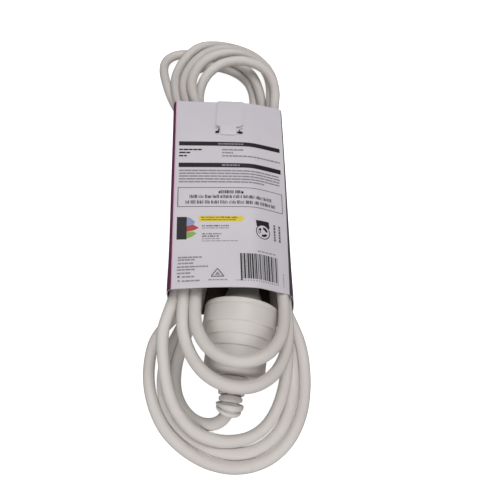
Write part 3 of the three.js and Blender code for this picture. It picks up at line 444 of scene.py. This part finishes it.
    (-13.3, -32.2, 33.5), (-13.4, -38.2, 33.5), (-13.7, -44.2, 33.6), (-14.0, -50.2, 33.7), (-14.4, -56.2, 34.0), (-14.9, -62.2, 34.3), (-15.4, -68.1, 34.9),
    (-15.8, -74.1, 35.6), (-15.8, -80.1, 36.6), (-15.3, -86.2, 37.8), (-13.8, -92.1, 39.2), (-11.2, -97.8, 40.6), (-7.5, -102.8, 41.9), (-2.5, -106.9, 42.9),
    (3.5, -109.7, 43.4), (10.0, -110.7, 43.2), (16.5, -109.8, 42.3), (22.3, -107.0, 40.8), (26.8, -102.9, 38.9), (30.2, -97.9, 36.6), (32.5, -92.4, 34.3),
    (33.8, -86.7, 32.0), (34.4, -80.9, 29.9), (34.6, -75.0, 28.4), (34.3, -69.1, 27.2), (34.0, -63.2, 26.5), (33.6, -57.2, 26.1), (33.6, -51.2, 25.9),
    (33.6, -45.2, 25.8), (33.8, -39.2, 25.8), (33.9, -33.2, 25.9), (34.1, -27.2, 26.0), (34.2, -21.2, 26.0), (34.3, -15.2, 26.0), (34.3, -9.2, 26.0), (34.3, -3.2, 26.0),
    (34.2, 2.8, 26.0), (34.1, 8.7, 26.1), (34.0, 14.7, 26.1), (33.8, 20.7, 26.1), (33.7, 26.7, 26.2), (33.6, 32.7, 26.2), (33.6, 38.7, 26.2), (33.7, 44.7, 26.2),
    (34.1, 50.7, 26.2), (34.6, 56.7, 26.1), (35.4, 62.6, 26.0), (36.4, 68.5, 25.9), (37.5, 74.4, 25.8), (38.4, 80.4, 25.6), (39.1, 86.3, 25.5), (39.2, 92.3, 25.3),
    (38.6, 98.3, 25.2), (37.1, 104.1, 25.1), (34.5, 109.5, 24.9), (31.0, 114.3, 24.8), (26.4, 118.2, 24.7), (21.1, 120.9, 24.6), (15.3, 122.3, 24.6), (9.3, 122.2, 24.6),
    (3.5, 120.7, 24.5), (-1.8, 118.0, 24.4), (-6.4, 114.2, 24.0), (-10.2, 109.6, 23.5), (-13.1, 104.4, 22.8), (-15.0, 98.7, 22.0), (-16.0, 92.9, 21.2),
    (-16.3, 87.0, 20.4), (-16.2, 81.0, 19.6), (-15.7, 75.1, 19.0), (-15.1, 69.1, 18.5), (-14.6, 63.2, 18.0), (-14.2, 57.2, 17.5), (-14.0, 51.2, 17.0),
    (-13.8, 45.3, 16.5), (-13.8, 39.3, 15.9), (-13.9, 33.3, 15.4), (-14.0, 27.4, 14.7), (-14.1, 21.4, 14.1), (-14.1, 15.4, 13.5), (-14.2, 9.5, 12.8), (-14.2, 3.5, 12.2),
    (-14.1, -2.5, 11.7), (-14.0, -8.4, 11.2), (-13.8, -14.4, 10.8), (-13.5, -20.4, 10.5), (-13.3, -26.4, 10.2), (-13.2, -32.4, 10.0), (-13.3, -38.4, 9.9),
    (-13.5, -44.4, 9.9), (-14.1, -50.4, 9.8), (-14.9, -56.3, 9.8), (-16.1, -62.2, 9.6), (-17.6, -67.9, 9.2), (-19.5, -73.6, 8.6), (-21.6, -79.2, 7.8),
    (-23.9, -84.6, 6.8), (-26.1, -90.1, 5.7), (-28.1, -95.7, 4.8), (-29.5, -101.5, 4.1), (-30.3, -107.4, 3.7), (-30.3, -113.4, 3.5), (-29.2, -119.3, 3.5),
    (-26.9, -124.8, 3.5), (-23.5, -129.7, 3.8), (-19.1, -133.6, 4.7), (-14.0, -136.1, 6.6), (-8.8, -137.0, 9.5), (-4.1, -136.2, 13.1), (-0.4, -133.6, 17.0),
    (1.9, -129.5, 20.6),
])
CORD_D = 7.0
lead_in = [on_axis(s) + SHIFT for s in (44.5, 47.0, 49.5)]
lead_out = [on_axis(s) + SHIFT for s in (-52.6, -50.0, -48.2)]
line = spline(np.vstack([lead_in, ROUTE, lead_out]), 3.0)

def tube(name, path, radius, sides, mat, twist=0.0, ripple=0.0):
    t, a, b = frames(path)
    s = np.concatenate([[0], np.cumsum(np.linalg.norm(np.diff(path, axis=0), axis=1))])
    verts = []
    for i in range(len(path)):
        for k in range(sides):
            w = 2 * math.pi * k / sides
            r = radius + (ripple * math.cos(3 * w - 2 * math.pi * s[i] / twist) if twist else 0)
            verts.append((path[i] + a[i] * r * math.cos(w) + b[i] * r * math.sin(w)) * MM)
    faces = grid_faces(len(path), sides)
    faces.append(tuple(range(sides))[::-1]); faces.append(tuple((len(path) - 1) * sides + k for k in range(sides)))
    return make(name, verts, faces, [mat], sharp=60)

cord = tube("cord_run", line, CORD_D / 2, 20, SHEATH, twist=62.0, ripple=0.035)
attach(cord, "lead"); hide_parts("cord_hank_lower", "cord_hank_upper", "cord_socket_tail")
stub = tube("plug_jacket_end", np.array([on_axis(s) + SHIFT for s in (21.5, 22.2, 23.0, 23.8, 24.2)]), CORD_D / 2, 20, SHEATH)
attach(stub, "plug"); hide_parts("cord_plug_lead")

# ------------------------------------------------------------------ folded card sleeve
CARD_W, CARD_L, CARD_T = 72.0, 136.0, 0.5
SOFT_RIDGE = 2.5
def lerp(pair, w):
    return pair[0] + (pair[1] - pair[0]) * w

def panel_xz(s, t):
    """The label panel's own section: s across from its left crease, t down from its upper edge."""
    w = t / CARD_L
    zl, zr, zR, a = lerp((43.8, 45.4), w), lerp((39.7, 42.2), w), lerp((32.4, 28.0), w), lerp((48.8, 49.8), w)
    m1, m2 = (zr - zl) / a, (zR - zr) / (CARD_W - a)
    c1, c2 = math.sqrt(1 - m1 * m1), math.sqrt(1 - m2 * m2)
    g = SOFT_RIDGE * np.logaddexp(0, (s - a) / SOFT_RIDGE)
    x, z = c1 * s + (c2 - c1) * g, zl + m1 * s + (m2 - m1) * g
    if 0 < s < 54:                           # pushed up by the cords near the lower edge, and a little crowned elsewhere
        z += math.sin(math.pi * s / 54) * (1.7 * math.exp(-((CARD_L - t) / 22) ** 2) + 0.25)
    z += 0.5 * math.exp(-(t / 9) ** 2) * math.exp(-(s / 8) ** 2)       # upper left corner lifted
    z += 1.2 * math.exp(-((CARD_L - t) / 16) ** 2) * math.exp(-((s - 70) / 7) ** 2)      # a cord holds the lower right corner up
    return x, z

YAW = math.radians(0.36)
def place(x, t, z):
    c, n = math.cos(YAW), math.sin(YAW)
    return np.array([-35.02 + c * x + n * t, 64.75 + n * x - c * t, z])

def panel(s, t, off=0.0):
    x, z = panel_xz(s, t)
    if off:
        x2, z2 = panel_xz(s + 0.05, t); x1, z1 = panel_xz(s - 0.05, t)
        d = np.array([x2 - x1, z2 - z1]); d /= np.linalg.norm(d)
        x, z = x - d[1] * off, z + d[0] * off
    return place(x, t, z)

S_STEPS = sorted(set([0, 0.35] + [round(1 + 1.0 * i, 2) for i in range(71)] + [71.65, 72]))
def section(t):
    """Points of the outer outline and the material of the face that starts at each."""
    pts, kind = [], []
    for s in S_STEPS:
        pts.append(panel_xz(s, t)); kind.append(0)
    kind[-1] = 2
    xR, zR = pts[-1]; xL, zL = pts[0]
    w = t / CARD_L
    open_end = 1 + 0.25 * math.exp(-((CARD_L - t) / 18) ** 2)
    for i in range(1, 16):
        f = i / 16
        pts.append((xR + (71.2 - xR) * f + 1.2 * open_end * math.sin(math.pi * f ** 0.62), zR + (0.5 - zR) * f)); kind.append(2)
    pts.append((71.0, 0.06)); kind.append(3)
    for i in range(1, 12):
        pts.append((71.0 + (-0.8 - 71.0) * i / 12, 0.0)); kind.append(3)
    pts.append((-0.8, 0.06)); kind.append(1)
    for i in range(15, 0, -1):
        f = i / 16
        pts.append((xL + (-1.0 - xL) * f - 2.8 * open_end * math.sin(math.pi * f ** 0.52), zL + (0.5 - zL) * f)); kind.append(1)
    return np.array(pts), kind

def sleeve_mesh():
    ts = [0, 0.4, 1, 2] + [4 + 4 * i for i in range(24)] + [98 + 2 * i for i in range(19)] + [135.2, 135.7, 136]
    verts, faces, index = [], [], []
    rows = []
    for t in ts:
        o, kind = section(t)
        d = np.roll(o, -1, axis=0) - np.roll(o, 1, axis=0)
        d /= np.linalg.norm(d, axis=1)[:, None]
        nrm = np.stack([-d[:, 1], d[:, 0]], axis=1)          # outward is up on the label panel
        inner = o - nrm * CARD_T
        rows.append((o, inner))
    n = len(rows[0][0])
    for t, (o, inner) in zip(ts, rows):
        for x, z in o:
            verts.append(to_m(place(x, t, z)))
        for x, z in inner:
            verts.append(to_m(place(x, t, z)))
    for i in range(len(ts) - 1):
        for k in range(n):
            l = (k + 1) % n
            a, b = i * 2 * n, (i + 1) * 2 * n
            faces.append((a + k, b + k, b + l, a + l)); index.append(kind[k])
            faces.append((a + n + k, a + n + l, b + n + l, b + n + k)); index.append(4)
    for row in (0, len(ts) - 1):
        a = row * 2 * n
        for k in range(n):
            l = (k + 1) % n
            faces.append((a + k, a + l, a + n + l, a + n + k)); index.append(5)
    return verts, faces, index

verts, faces, index = sleeve_mesh()
sleeve = make("sleeve_card", verts, faces, [CARD, CARD_PURPLE, CARD_RIGHT_SIDE_SHADE, CARD_PURPLE, CARD_INSIDE, CARD_EDGE], index, sharp=30)

def prism(name, outline, lo=-4.0, hi=3.0):
    """A cutter through the label panel, from an outline in the sheet's own s and t."""
    v = [to_m(panel(s, t) + UP * lo) for s, t in outline] + [to_m(panel(s, t) + UP * hi) for s, t in outline]
    n = len(outline)
    f = [tuple(range(n))[::-1], tuple(range(n, 2 * n))] + [(k, (k + 1) % n, n + (k + 1) % n, n + k) for k in range(n)]
    return make(name, v, f, [CARD_EDGE])

def crescent(s0, t0, side, wide, high, thin):
    pts = []
    for i in range(15):
        a = -math.pi / 2 + math.pi * i / 14
        pts.append((s0 + side * wide * math.cos(a), t0 + high * math.sin(a)))
    for i in range(13, 0, -1):
        a = -math.pi / 2 + math.pi * i / 14
        pts.append((s0 + side * (wide - thin * (0.55 + 0.45 * math.sin(a))) * math.cos(a), t0 + high * math.sin(a)))
    return pts if side < 0 else pts[::-1]

def cut(ob, cutters):
    for c in cutters:
        m = ob.modifiers.new("cut", "BOOLEAN"); m.operation = "DIFFERENCE"; m.solver = "EXACT"; m.object = c
        me = bpy.data.meshes.new_from_object(ob.evaluated_get(bpy.context.evaluated_depsgraph_get()))
        ob.modifiers.clear()
        ob.data = me
        bpy.data.objects.remove(c)

def oval(s0, t0, rs, rt):
    return [(s0 + rs * math.cos(2 * math.pi * k / 18), t0 + rt * math.sin(2 * math.pi * k / 18)) for k in range(18)]

cut(sleeve, [prism("cut_a", crescent(25.8, 23.8, 1, 2.8, 2.7, 1.7)), prism("cut_b", oval(27.0, 25.6, 1.35, 1.1)), prism("cut_c", crescent(43.9, 24.3, -1, 2.6, 2.2, 1.2)), prism("cut_d", oval(41.9, 25.7, 1.95, 1.15))])
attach(sleeve, "lead"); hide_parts("sleeve_label_panel", "sleeve_base_panel", "sleeve_left_panel", "sleeve_right_panel")

# ------------------------------------------------------------------ tab: riser, crease and tongue in one strip that bends at the crease
def tab_mesh():
    c0, c1 = 27.7, 45.5                       # the tab's left and right at the crease, across the sheet
    rows = []                                 # (function of u in 0..1 -> point), from the riser's foot to the tongue's tip
    th = 0.42
    def left(t): return c0 - 0.075 * t
    def right(t): return c1 - 0.06 * t
    def row_top(t):
        l, r = left(t), right(t)
        if t > 19.2:                          # rounded shoulders, then the narrow tongue with its own rounded tip
            f = min(1.0, (t - 19.2) / 2.6); f = 1 - math.sqrt(max(0.0, 1 - f * f))
            l, r = l + (29.1 - l) * f, r + (39.5 - r) * f
        if t > 26.7:
            f = min(0.999, (t - 26.7) / 1.4); f = 1.5 * (1 - math.sqrt(1 - f * f))
            l, r = l + f, r - f
        lift = 0.78 - 0.16 * math.exp(-(t / 3) ** 2)
        if t > 17:
            f = min(1.0, (t - 17) / 11.1)
            lift = 0.78 * (1 - f * f) + 0.25 * f * f + 0.2 * math.sin(math.pi * f)
        return lambda u: panel(l + (r - l) * u, t, lift + 0.12 * math.sin(math.pi * u))
    crease_y = 0.75
    out = []
    # riser, from the base panel up to just under the crease
    def riser(f):
        def at(u):
            s = c0 + 0.5 + (c1 - c0 - 1.0) * u if f < 0.9 else c0 + 0.5 * (1 - (f - 0.9) / 0.1) + (c1 - c0 - 1.0 * (1 - (f - 0.9) / 0.1)) * u
            top = panel(s, 0)
            z = 0.9 + (top[2] - 0.55 - 0.9) * f
            return np.array([top[0], top[1] + crease_y + 0.05 - 0.5 * math.exp(-(f / 0.03) ** 2) * 0 - 0.25 * math.sin(math.pi * f), z])
        return at
    for i in range(25):
        out.append(riser(i / 24))
    # crease: a quarter turn and a bit, radius about a millimetre
    for i in range(1, 7):
        a = math.pi / 2 * i / 7
        def at(u, a=a):
            s = c0 + (c1 - c0) * u
            top = panel(s, 0)
            return np.array([top[0], top[1] + crease_y - 1.15 * (1 - math.cos(a)), top[2] - 0.55 + 1.17 * math.sin(a)])
        out.append(at)
    ts = [0.8, 1.6] + [2.5 + i for i in range(16)] + [19.2, 19.7, 20.2, 20.6, 20.9, 21.15, 21.35, 21.5, 21.65, 21.8, 22.3, 23, 24, 25, 26, 26.7, 27.2, 27.6, 27.85, 28.0, 28.1]
    for t in ts:
        out.append(row_top(t))
    cols = 22
    mid = np.array([[f(k / (cols - 1)) for k in range(cols)] for f in out])
    dr = np.gradient(mid, axis=0); dc = np.gradient(mid, axis=1)
    nrm = np.cross(dc, dr); nrm /= np.linalg.norm(nrm, axis=2)[:, :, None]
    if nrm[-5, 5][2] < 0:
        nrm = -nrm
    top = mid + nrm * th / 2; bot = mid - nrm * th / 2
    R = len(out)
    verts = [to_m(v) for v in top.reshape(-1, 3)] + [to_m(v) for v in bot.reshape(-1, 3)]
    N = R * cols
    faces, index = [], []
    for i in range(R - 1):
        for k in range(cols - 1):
            a = i * cols + k
            faces.append((a, a + 1, a + cols + 1, a + cols)); index.append(0)
            faces.append((N + a, N + a + cols, N + a + cols + 1, N + a + 1)); index.append(1)
        a, b = i * cols, (i + 1) * cols
        faces.append((a, b, N + b, N + a)); index.append(2)
        a, b = a + cols - 1, b + cols - 1
        faces.append((a, N + a, N + b, b)); index.append(2)
    for k in range(cols - 1):
        faces.append((k, N + k, N + k + 1, k + 1)); index.append(2)
        a = (R - 1) * cols + k
        faces.append((a, a + 1, N + a + 1, N + a)); index.append(2)
    return verts, faces, index

verts, faces, index = tab_mesh()
tab = make("sleeve_tab", verts, faces, [CARD, CARD_INSIDE, CARD_EDGE], index, sharp=40)
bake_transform(tab)
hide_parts("sleeve_tab_riser", "sleeve_lock_tab")

# ------------------------------------------------------------------ print on the label panel: bars, rules and rows of plain dashes
PR_V, PR_F, PR_I = [], [], []
def quad_strip(outline_l, outline_r, colour, off):
    base = len(PR_V)
    for a, b in zip(outline_l, outline_r):
        PR_V.append(to_m(panel(a[0], a[1], off))); PR_V.append(to_m(panel(b[0], b[1], off)))
    for i in range(len(outline_l) - 1):
        PR_F.append((base + 2 * i, base + 2 * i + 1, base + 2 * i + 3, base + 2 * i + 2)); PR_I.append(colour)

def rect(s0, t0, s1, t1, colour, off=0.03):
    n = max(1, int(math.ceil((s1 - s0) / 1.0)))
    m = max(1, int(math.ceil((t1 - t0) / 2.0)))
    for j in range(m):
        ta, tb = t0 + (t1 - t0) * j / m, t0 + (t1 - t0) * (j + 1) / m
        quad_strip([(s0 + (s1 - s0) * i / n, ta) for i in range(n + 1)], [(s0 + (s1 - s0) * i / n, tb) for i in range(n + 1)], colour, off)

def shape(points, colour, off=0.03):
    """A convex patch laid on the curved card in narrow columns."""
    s0, s1 = min(p[0] for p in points), max(p[0] for p in points)
    n = max(2, int(math.ceil((s1 - s0) / 0.4)))
    cols = []
    for i in range(n + 1):
        s = min(max(s0 + (s1 - s0) * i / n, s0 + 1e-5), s1 - 1e-5)
        hits = []
        for k in range(len(points)):
            a, b = points[k], points[(k + 1) % len(points)]
            if (a[0] - s) * (b[0] - s) <= 0 and a[0] != b[0]:
                hits.append(a[1] + (b[1] - a[1]) * (s - a[0]) / (b[0] - a[0]))
        cols.append((s, min(hits), max(hits)))
    m = max(1, int(math.ceil(max(c[2] - c[1] for c in cols) / 2.0)))
    base = len(PR_V)
    for s, lo, hi in cols:
        for j in range(m + 1):
            PR_V.append(to_m(panel(s, lo + (hi - lo) * j / m, off)))
    for i in range(n):
        for j in range(m):
            a = base + i * (m + 1) + j
            PR_F.append((a, a + 1, a + m + 2, a + m + 1)); PR_I.append(colour)

rnd = random.Random(7)
def dashes(s0, s1, t, h, colour, off=0.03, word=(1.3, 4.2), gap=0.7, slant=0.0):
    s = s0
    while s < s1 - 0.6:
        w = min(rnd.uniform(*word), s1 - s)
        rect(s, t, s + w, t + h, colour, off)
        s += w + gap
def letters(s0, s1, t, h, colour, off=0.03, stroke=0.55, gap=0.34):
    """A row of short upright ticks in groups, denser than dashes, that stands for bold print."""
    s = s0; left = rnd.randint(3, 8)
    while s < s1 - stroke:
        rect(s, t + (0 if rnd.random() < 0.7 else h * 0.25), s + stroke * rnd.uniform(0.7, 1.5), t + h, colour, off)
        s += stroke + gap; left -= 1
        if left == 0:
            s += gap * 2.2; left = rnd.randint(4, 9)
def upright(s, t0, t1, w, colour, off=0.03, word=(0.9, 2.2), gap=0.4):
    t = t0
    while t < t1 - 0.3:
        h = min(rnd.uniform(*word), t1 - t)
        rect(s, t, s + w, t + h, colour, off); t += h + gap

# painted highlight: a thin light pink strip along the left crease stands for the light caught on the fold
rect(0.08, 0.6, 0.6, 135.4, CREASE_HIGHLIGHT_PINK)
shape([(24.6, 20.4), (29.6, 20.4), (29.6, 28.2), (24.6, 28.2)], BLACK, -0.9); shape([(39.2, 21.2), (45.0, 21.2), (45.0, 28.4), (39.2, 28.4)], BLACK, -0.9)      # painted shade: black sheets just under the two cuts stand for the shadow seen through them
rect(2.5, 33.8, 69.4, 37.1, BLACK); dashes(27.4, 43.8, 34.9, 1.1, GREY, 0.05, word=(1.2, 3.0), gap=0.35)
for t, e, c in ((39.7, 17.0, BLACK), (42.1, 10.0, BLACK), (44.6, 7.6, BLACK)):
    dashes(2.7, e, t, 1.15, c, word=(2.2, 4.5), gap=0.35)
for t, e in ((39.6, 43.6), (42.0, 37.0), (44.5, 69.2)):
    dashes(29.9, e, t, 1.1, GREY, word=(1.5, 4.0), gap=0.32)
rect(2.6, 50.6, 69.3, 54.0, BLACK); dashes(29.6, 40.9, 51.7, 1.1, GREY, 0.05, word=(1.2, 3.0), gap=0.35)
for i, e in enumerate((68.2, 68.4, 68.0, 67.8, 56.7)):
    dashes(2.9, e, 56.0 + 2.12 * i, 1.05, GREY, word=(2.0, 6.0), gap=0.3)
for a in ((2.5, 69.0, 69.4, 69.45), (2.3, 82.7, 69.4, 83.15), (2.4, 69.0, 2.9, 83.1), (68.95, 69.0, 69.4, 83.1)):
    rect(*a, DGREY)
letters(27.2, 42.8, 71.2, 2.3, BLACK, stroke=0.95, gap=0.26)
letters(9.6, 62.0, 74.5, 2.4, DGREY, stroke=0.5, gap=0.3)
letters(7.2, 64.2, 78.5, 2.4, DGREY, stroke=0.5, gap=0.3)
# cut-away cord graphic: dark jacket and three cores
rect(2.4, 90.1, 8.2, 105.3, BLACK)
shape([(8.2, 90.3), (10.2, 90.8), (13.2, 93.6), (12.2, 95.2), (8.2, 96.4)], BLUE)
shape([(8.2, 96.4), (12.0, 95.4), (15.4, 97.6), (12.4, 99.3), (8.2, 100.2)], RED)
shape([(8.2, 100.2), (12.2, 100.0), (14.0, 101.5), (11.2, 103.6), (8.2, 104.8)], GREEN)
shape([(15.4, 89.4), (40.8, 89.4), (42.8, 91.2), (40.4, 93.3), (15.4, 93.3)], YELLOW, 0.03)
letters(16.8, 38.4, 90.0, 0.95, DGREY, 0.05, stroke=0.5, gap=0.2); dashes(16.8, 37.4, 91.8, 0.6, DGREY, 0.05, word=(1.2, 3.4), gap=0.4)
letters(17.1, 33.2, 95.8, 0.95, DGREY, stroke=0.5, gap=0.2); dashes(17.1, 32.8, 97.5, 0.6, GREY, word=(1.2, 3.4), gap=0.4)
letters(17.1, 29.2, 101.2, 0.95, DGREY, stroke=0.5, gap=0.2); letters(17.1, 27.2, 102.8, 0.95, DGREY, stroke=0.5, gap=0.2)
dashes(17.1, 27.4, 104.7, 0.6, GREY, word=(1.2, 3.4), gap=0.4); dashes(17.1, 37.9, 106.2, 0.55, GREY, word=(1.2, 3.4), gap=0.4)
# plain round mark under a small dark plate
shape([(49.4, 91.8), (58.6, 91.6), (58.8, 96.2), (49.8, 96.0)], BLACK)
ring = lambda cx, cy, r, n=36: [(cx + r * math.cos(2 * math.pi * k / n), cy + r * math.sin(2 * math.pi * k / n)) for k in range(n)]
shape(ring(54.0, 99.3, 4.9), BLACK, 0.04); shape(ring(54.0, 99.3, 4.35), WHITE, 0.05)
for k in range(3):
    a0 = 2 * math.pi * k / 3 - math.pi / 2
    n = 8
    base = len(PR_V)
    for i in range(n + 1):
        a = a0 + 1.45 * i / n
        for r in (1.7, 3.3):
            PR_V.append(to_m(panel(54.0 + r * math.cos(a), 99.3 + r * math.sin(a), 0.06)))
    for i in range(n):
        PR_F.append((base + 2 * i, base + 2 * i + 1, base + 2 * i + 3, base + 2 * i + 2)); PR_I.append(BLACK)
upright(61.7, 92.6, 103.7, 1.3, DGREY); upright(65.4, 92.6, 103.8, 1.3, DGREY)
dashes(49.6, 62.9, 112.4, 0.75, GREY, word=(1.2, 3.0), gap=0.5)
s = 38.9
while s < 63.5:
    w = rnd.choice((0.25, 0.3, 0.5, 0.85, 1.05))
    rect(s, 114.6, min(s + w, 63.7), 130.7 if 40 < s < 62.6 else 131.9, rnd.choice((BLACK, BLACK, DGREY))); s += w + rnd.choice((0.28, 0.4, 0.55))
dashes(36.4, 63.0, 131.3, 0.85, GREY, word=(0.6, 0.8), gap=0.9)
for t, a, e in ((116.5, 3.5, 17.1), (118.1, 3.5, 13.1), (120.3, 3.6, 12.8), (122.5, 3.1, 20.6), (124.3, 3.1, 13.2), (126.4, 3.2, 11.5), (128.7, 6.0, 13.7), (131.2, 6.0, 16.0)):
    dashes(a, e, t, 0.95, GREY, word=(1.2, 3.2), gap=0.3)
rect(3.5, 128.3, 4.8, 129.5, DGREY); rect(3.6, 130.9, 4.9, 132.1, GREY)
for p, q in (((25.9, 124.4), (22.3, 129.4)), ((25.9, 124.4), (29.4, 129.4)), ((22.3, 129.4), (29.4, 129.4))):
    d = np.array(q) - np.array(p); nn = np.array([-d[1], d[0]]) / np.linalg.norm(d) * 0.32
    shape([tuple(np.array(p) + nn), tuple(np.array(q) + nn), tuple(np.array(q) - nn), tuple(np.array(p) - nn)], DGREY)
shape([(25.9, 126.4), (24.3, 128.6), (27.5, 128.6)], GREY, 0.04)
dashes(20.7, 31.4, 131.2, 0.7, GREY, word=(1.2, 3.0), gap=0.45)
upright(67.3, 124.2, 132.6, 0.6, GREY, word=(0.5, 0.9), gap=0.35)
prints = make("sleeve_print", PR_V, PR_F, INKS, PR_I, smooth=True, fix=False)
bm = bmesh.new(); bm.from_mesh(prints.data)
flip = [f for f in bm.faces if f.normal.z < 0]
bmesh.ops.reverse_faces(bm, faces=flip)
bm.to_mesh(prints.data); bm.free()
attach(prints, "lead")

# ------------------------------------------------------------------ carried-over CAD nodes
LOOKS = {"socket_contact_block": INSERT, "socket_block_cover": INSERT, "plug_pin_carrier": INSERT, "socket_contact_active": BRASS, "socket_contact_neutral": BRASS, "socket_contact_earth": BRASS,
         "plug_pin_active": BRASS, "plug_pin_neutral": BRASS, "plug_pin_earth": BRASS, "plug_pin_sleeve_active": PIN_SLEEVE, "plug_pin_sleeve_neutral": PIN_SLEEVE,
         "socket_core_active": CORE_BROWN, "socket_core_neutral": CORE_BLUE, "socket_core_earth": CORE_GREEN, "plug_core_active": CORE_BROWN, "plug_core_neutral": CORE_BLUE, "plug_core_earth": CORE_GREEN}
for name, mat in LOOKS.items():
    o = nodes[name]
    o.data.materials.clear()
    o.data.materials.append(mat)

# ------------------------------------------------------------------ floor, light, camera
def floor_look(nt, b):
    b.inputs["Base Color"].default_value = (0.9, 0.9, 0.9, 1)
    b.inputs["Roughness"].default_value = 0.9
    b.inputs["Specular IOR Level"].default_value = 0.0
    b.inputs["Emission Color"].default_value = (1, 1, 1, 1)
    b.inputs["Emission Strength"].default_value = FLOOR_GLOW
FLOOR_GLOW = 0.80
floor = make("floor", [(-6, -6, -0.0002), (6, -6, -0.0002), (6, 6, -0.0002), (-6, 6, -0.0002)], [(0, 1, 2, 3)], [material("floor_white", floor_look)], smooth=False)
floor.visible_diffuse = False
floor.visible_glossy = False

def backdrop_look(nt, b):
    floor_look(nt, b)
    b.inputs["Emission Strength"].default_value = 1.0
RING = 72
wall = make("backdrop", [(5.8 * math.cos(2 * math.pi * k / RING), 5.8 * math.sin(2 * math.pi * k / RING), z) for z in (-0.0002, 7.0) for k in range(RING)],
            [(k, (k + 1) % RING, RING + (k + 1) % RING, RING + k) for k in range(RING)], [material("backdrop_white", backdrop_look)], smooth=False, fix=False)
wall.visible_diffuse = False
wall.visible_glossy = False
wall.visible_shadow = False

world = bpy.data.worlds.new("studio"); scene.world = world
world.use_nodes = True
bg = world.node_tree.nodes["Background"]
bg.inputs[0].default_value = (1.0, 1.0, 1.0, 1)
bg.inputs[1].default_value = 0.27

def soft_light(name, where, aim, size, power, colour=(1, 1, 1)):
    l = bpy.data.lights.new(name, "AREA"); l.shape = "DISK"; l.size = size; l.energy = power; l.color = colour
    o = bpy.data.objects.new(name, l); scene.collection.objects.link(o)
    o.location = where
    o.rotation_mode = "QUATERNION"
    o.rotation_quaternion = (Vector(aim) - Vector(where)).to_track_quat("-Z", "Y")
    return o
soft_light("key", (0.24, 0.22, 1.1), (0, 0, 0.02), 0.75, 6.0)
soft_light("front", (-0.1, -0.95, 0.62), (0, -0.03, 0.02), 0.7, 4.6)

r = Vector((math.cos(math.radians(2.1)), -math.sin(math.radians(2.1)), 0))
fwd_ = Vector((math.sin(math.radians(2.1)) * math.sin(math.radians(26)), math.cos(math.radians(2.1)) * math.sin(math.radians(26)), -math.cos(math.radians(26))))
up_ = r.cross(fwd_)
cam = bpy.data.cameras.new("camera"); cam.lens = 36; cam.sensor_width = 36; cam.clip_start = 0.01
camera = bpy.data.objects.new("camera", cam); scene.collection.objects.link(camera)
m = Matrix((r, up_, -fwd_)).transposed().to_4x4()
m.translation = Vector((0.011456, -0.172461, 0.302))
camera.matrix_world = m
scene.camera = camera
scene.view_settings.view_transform = "Standard"
scene.view_settings.look = "None"
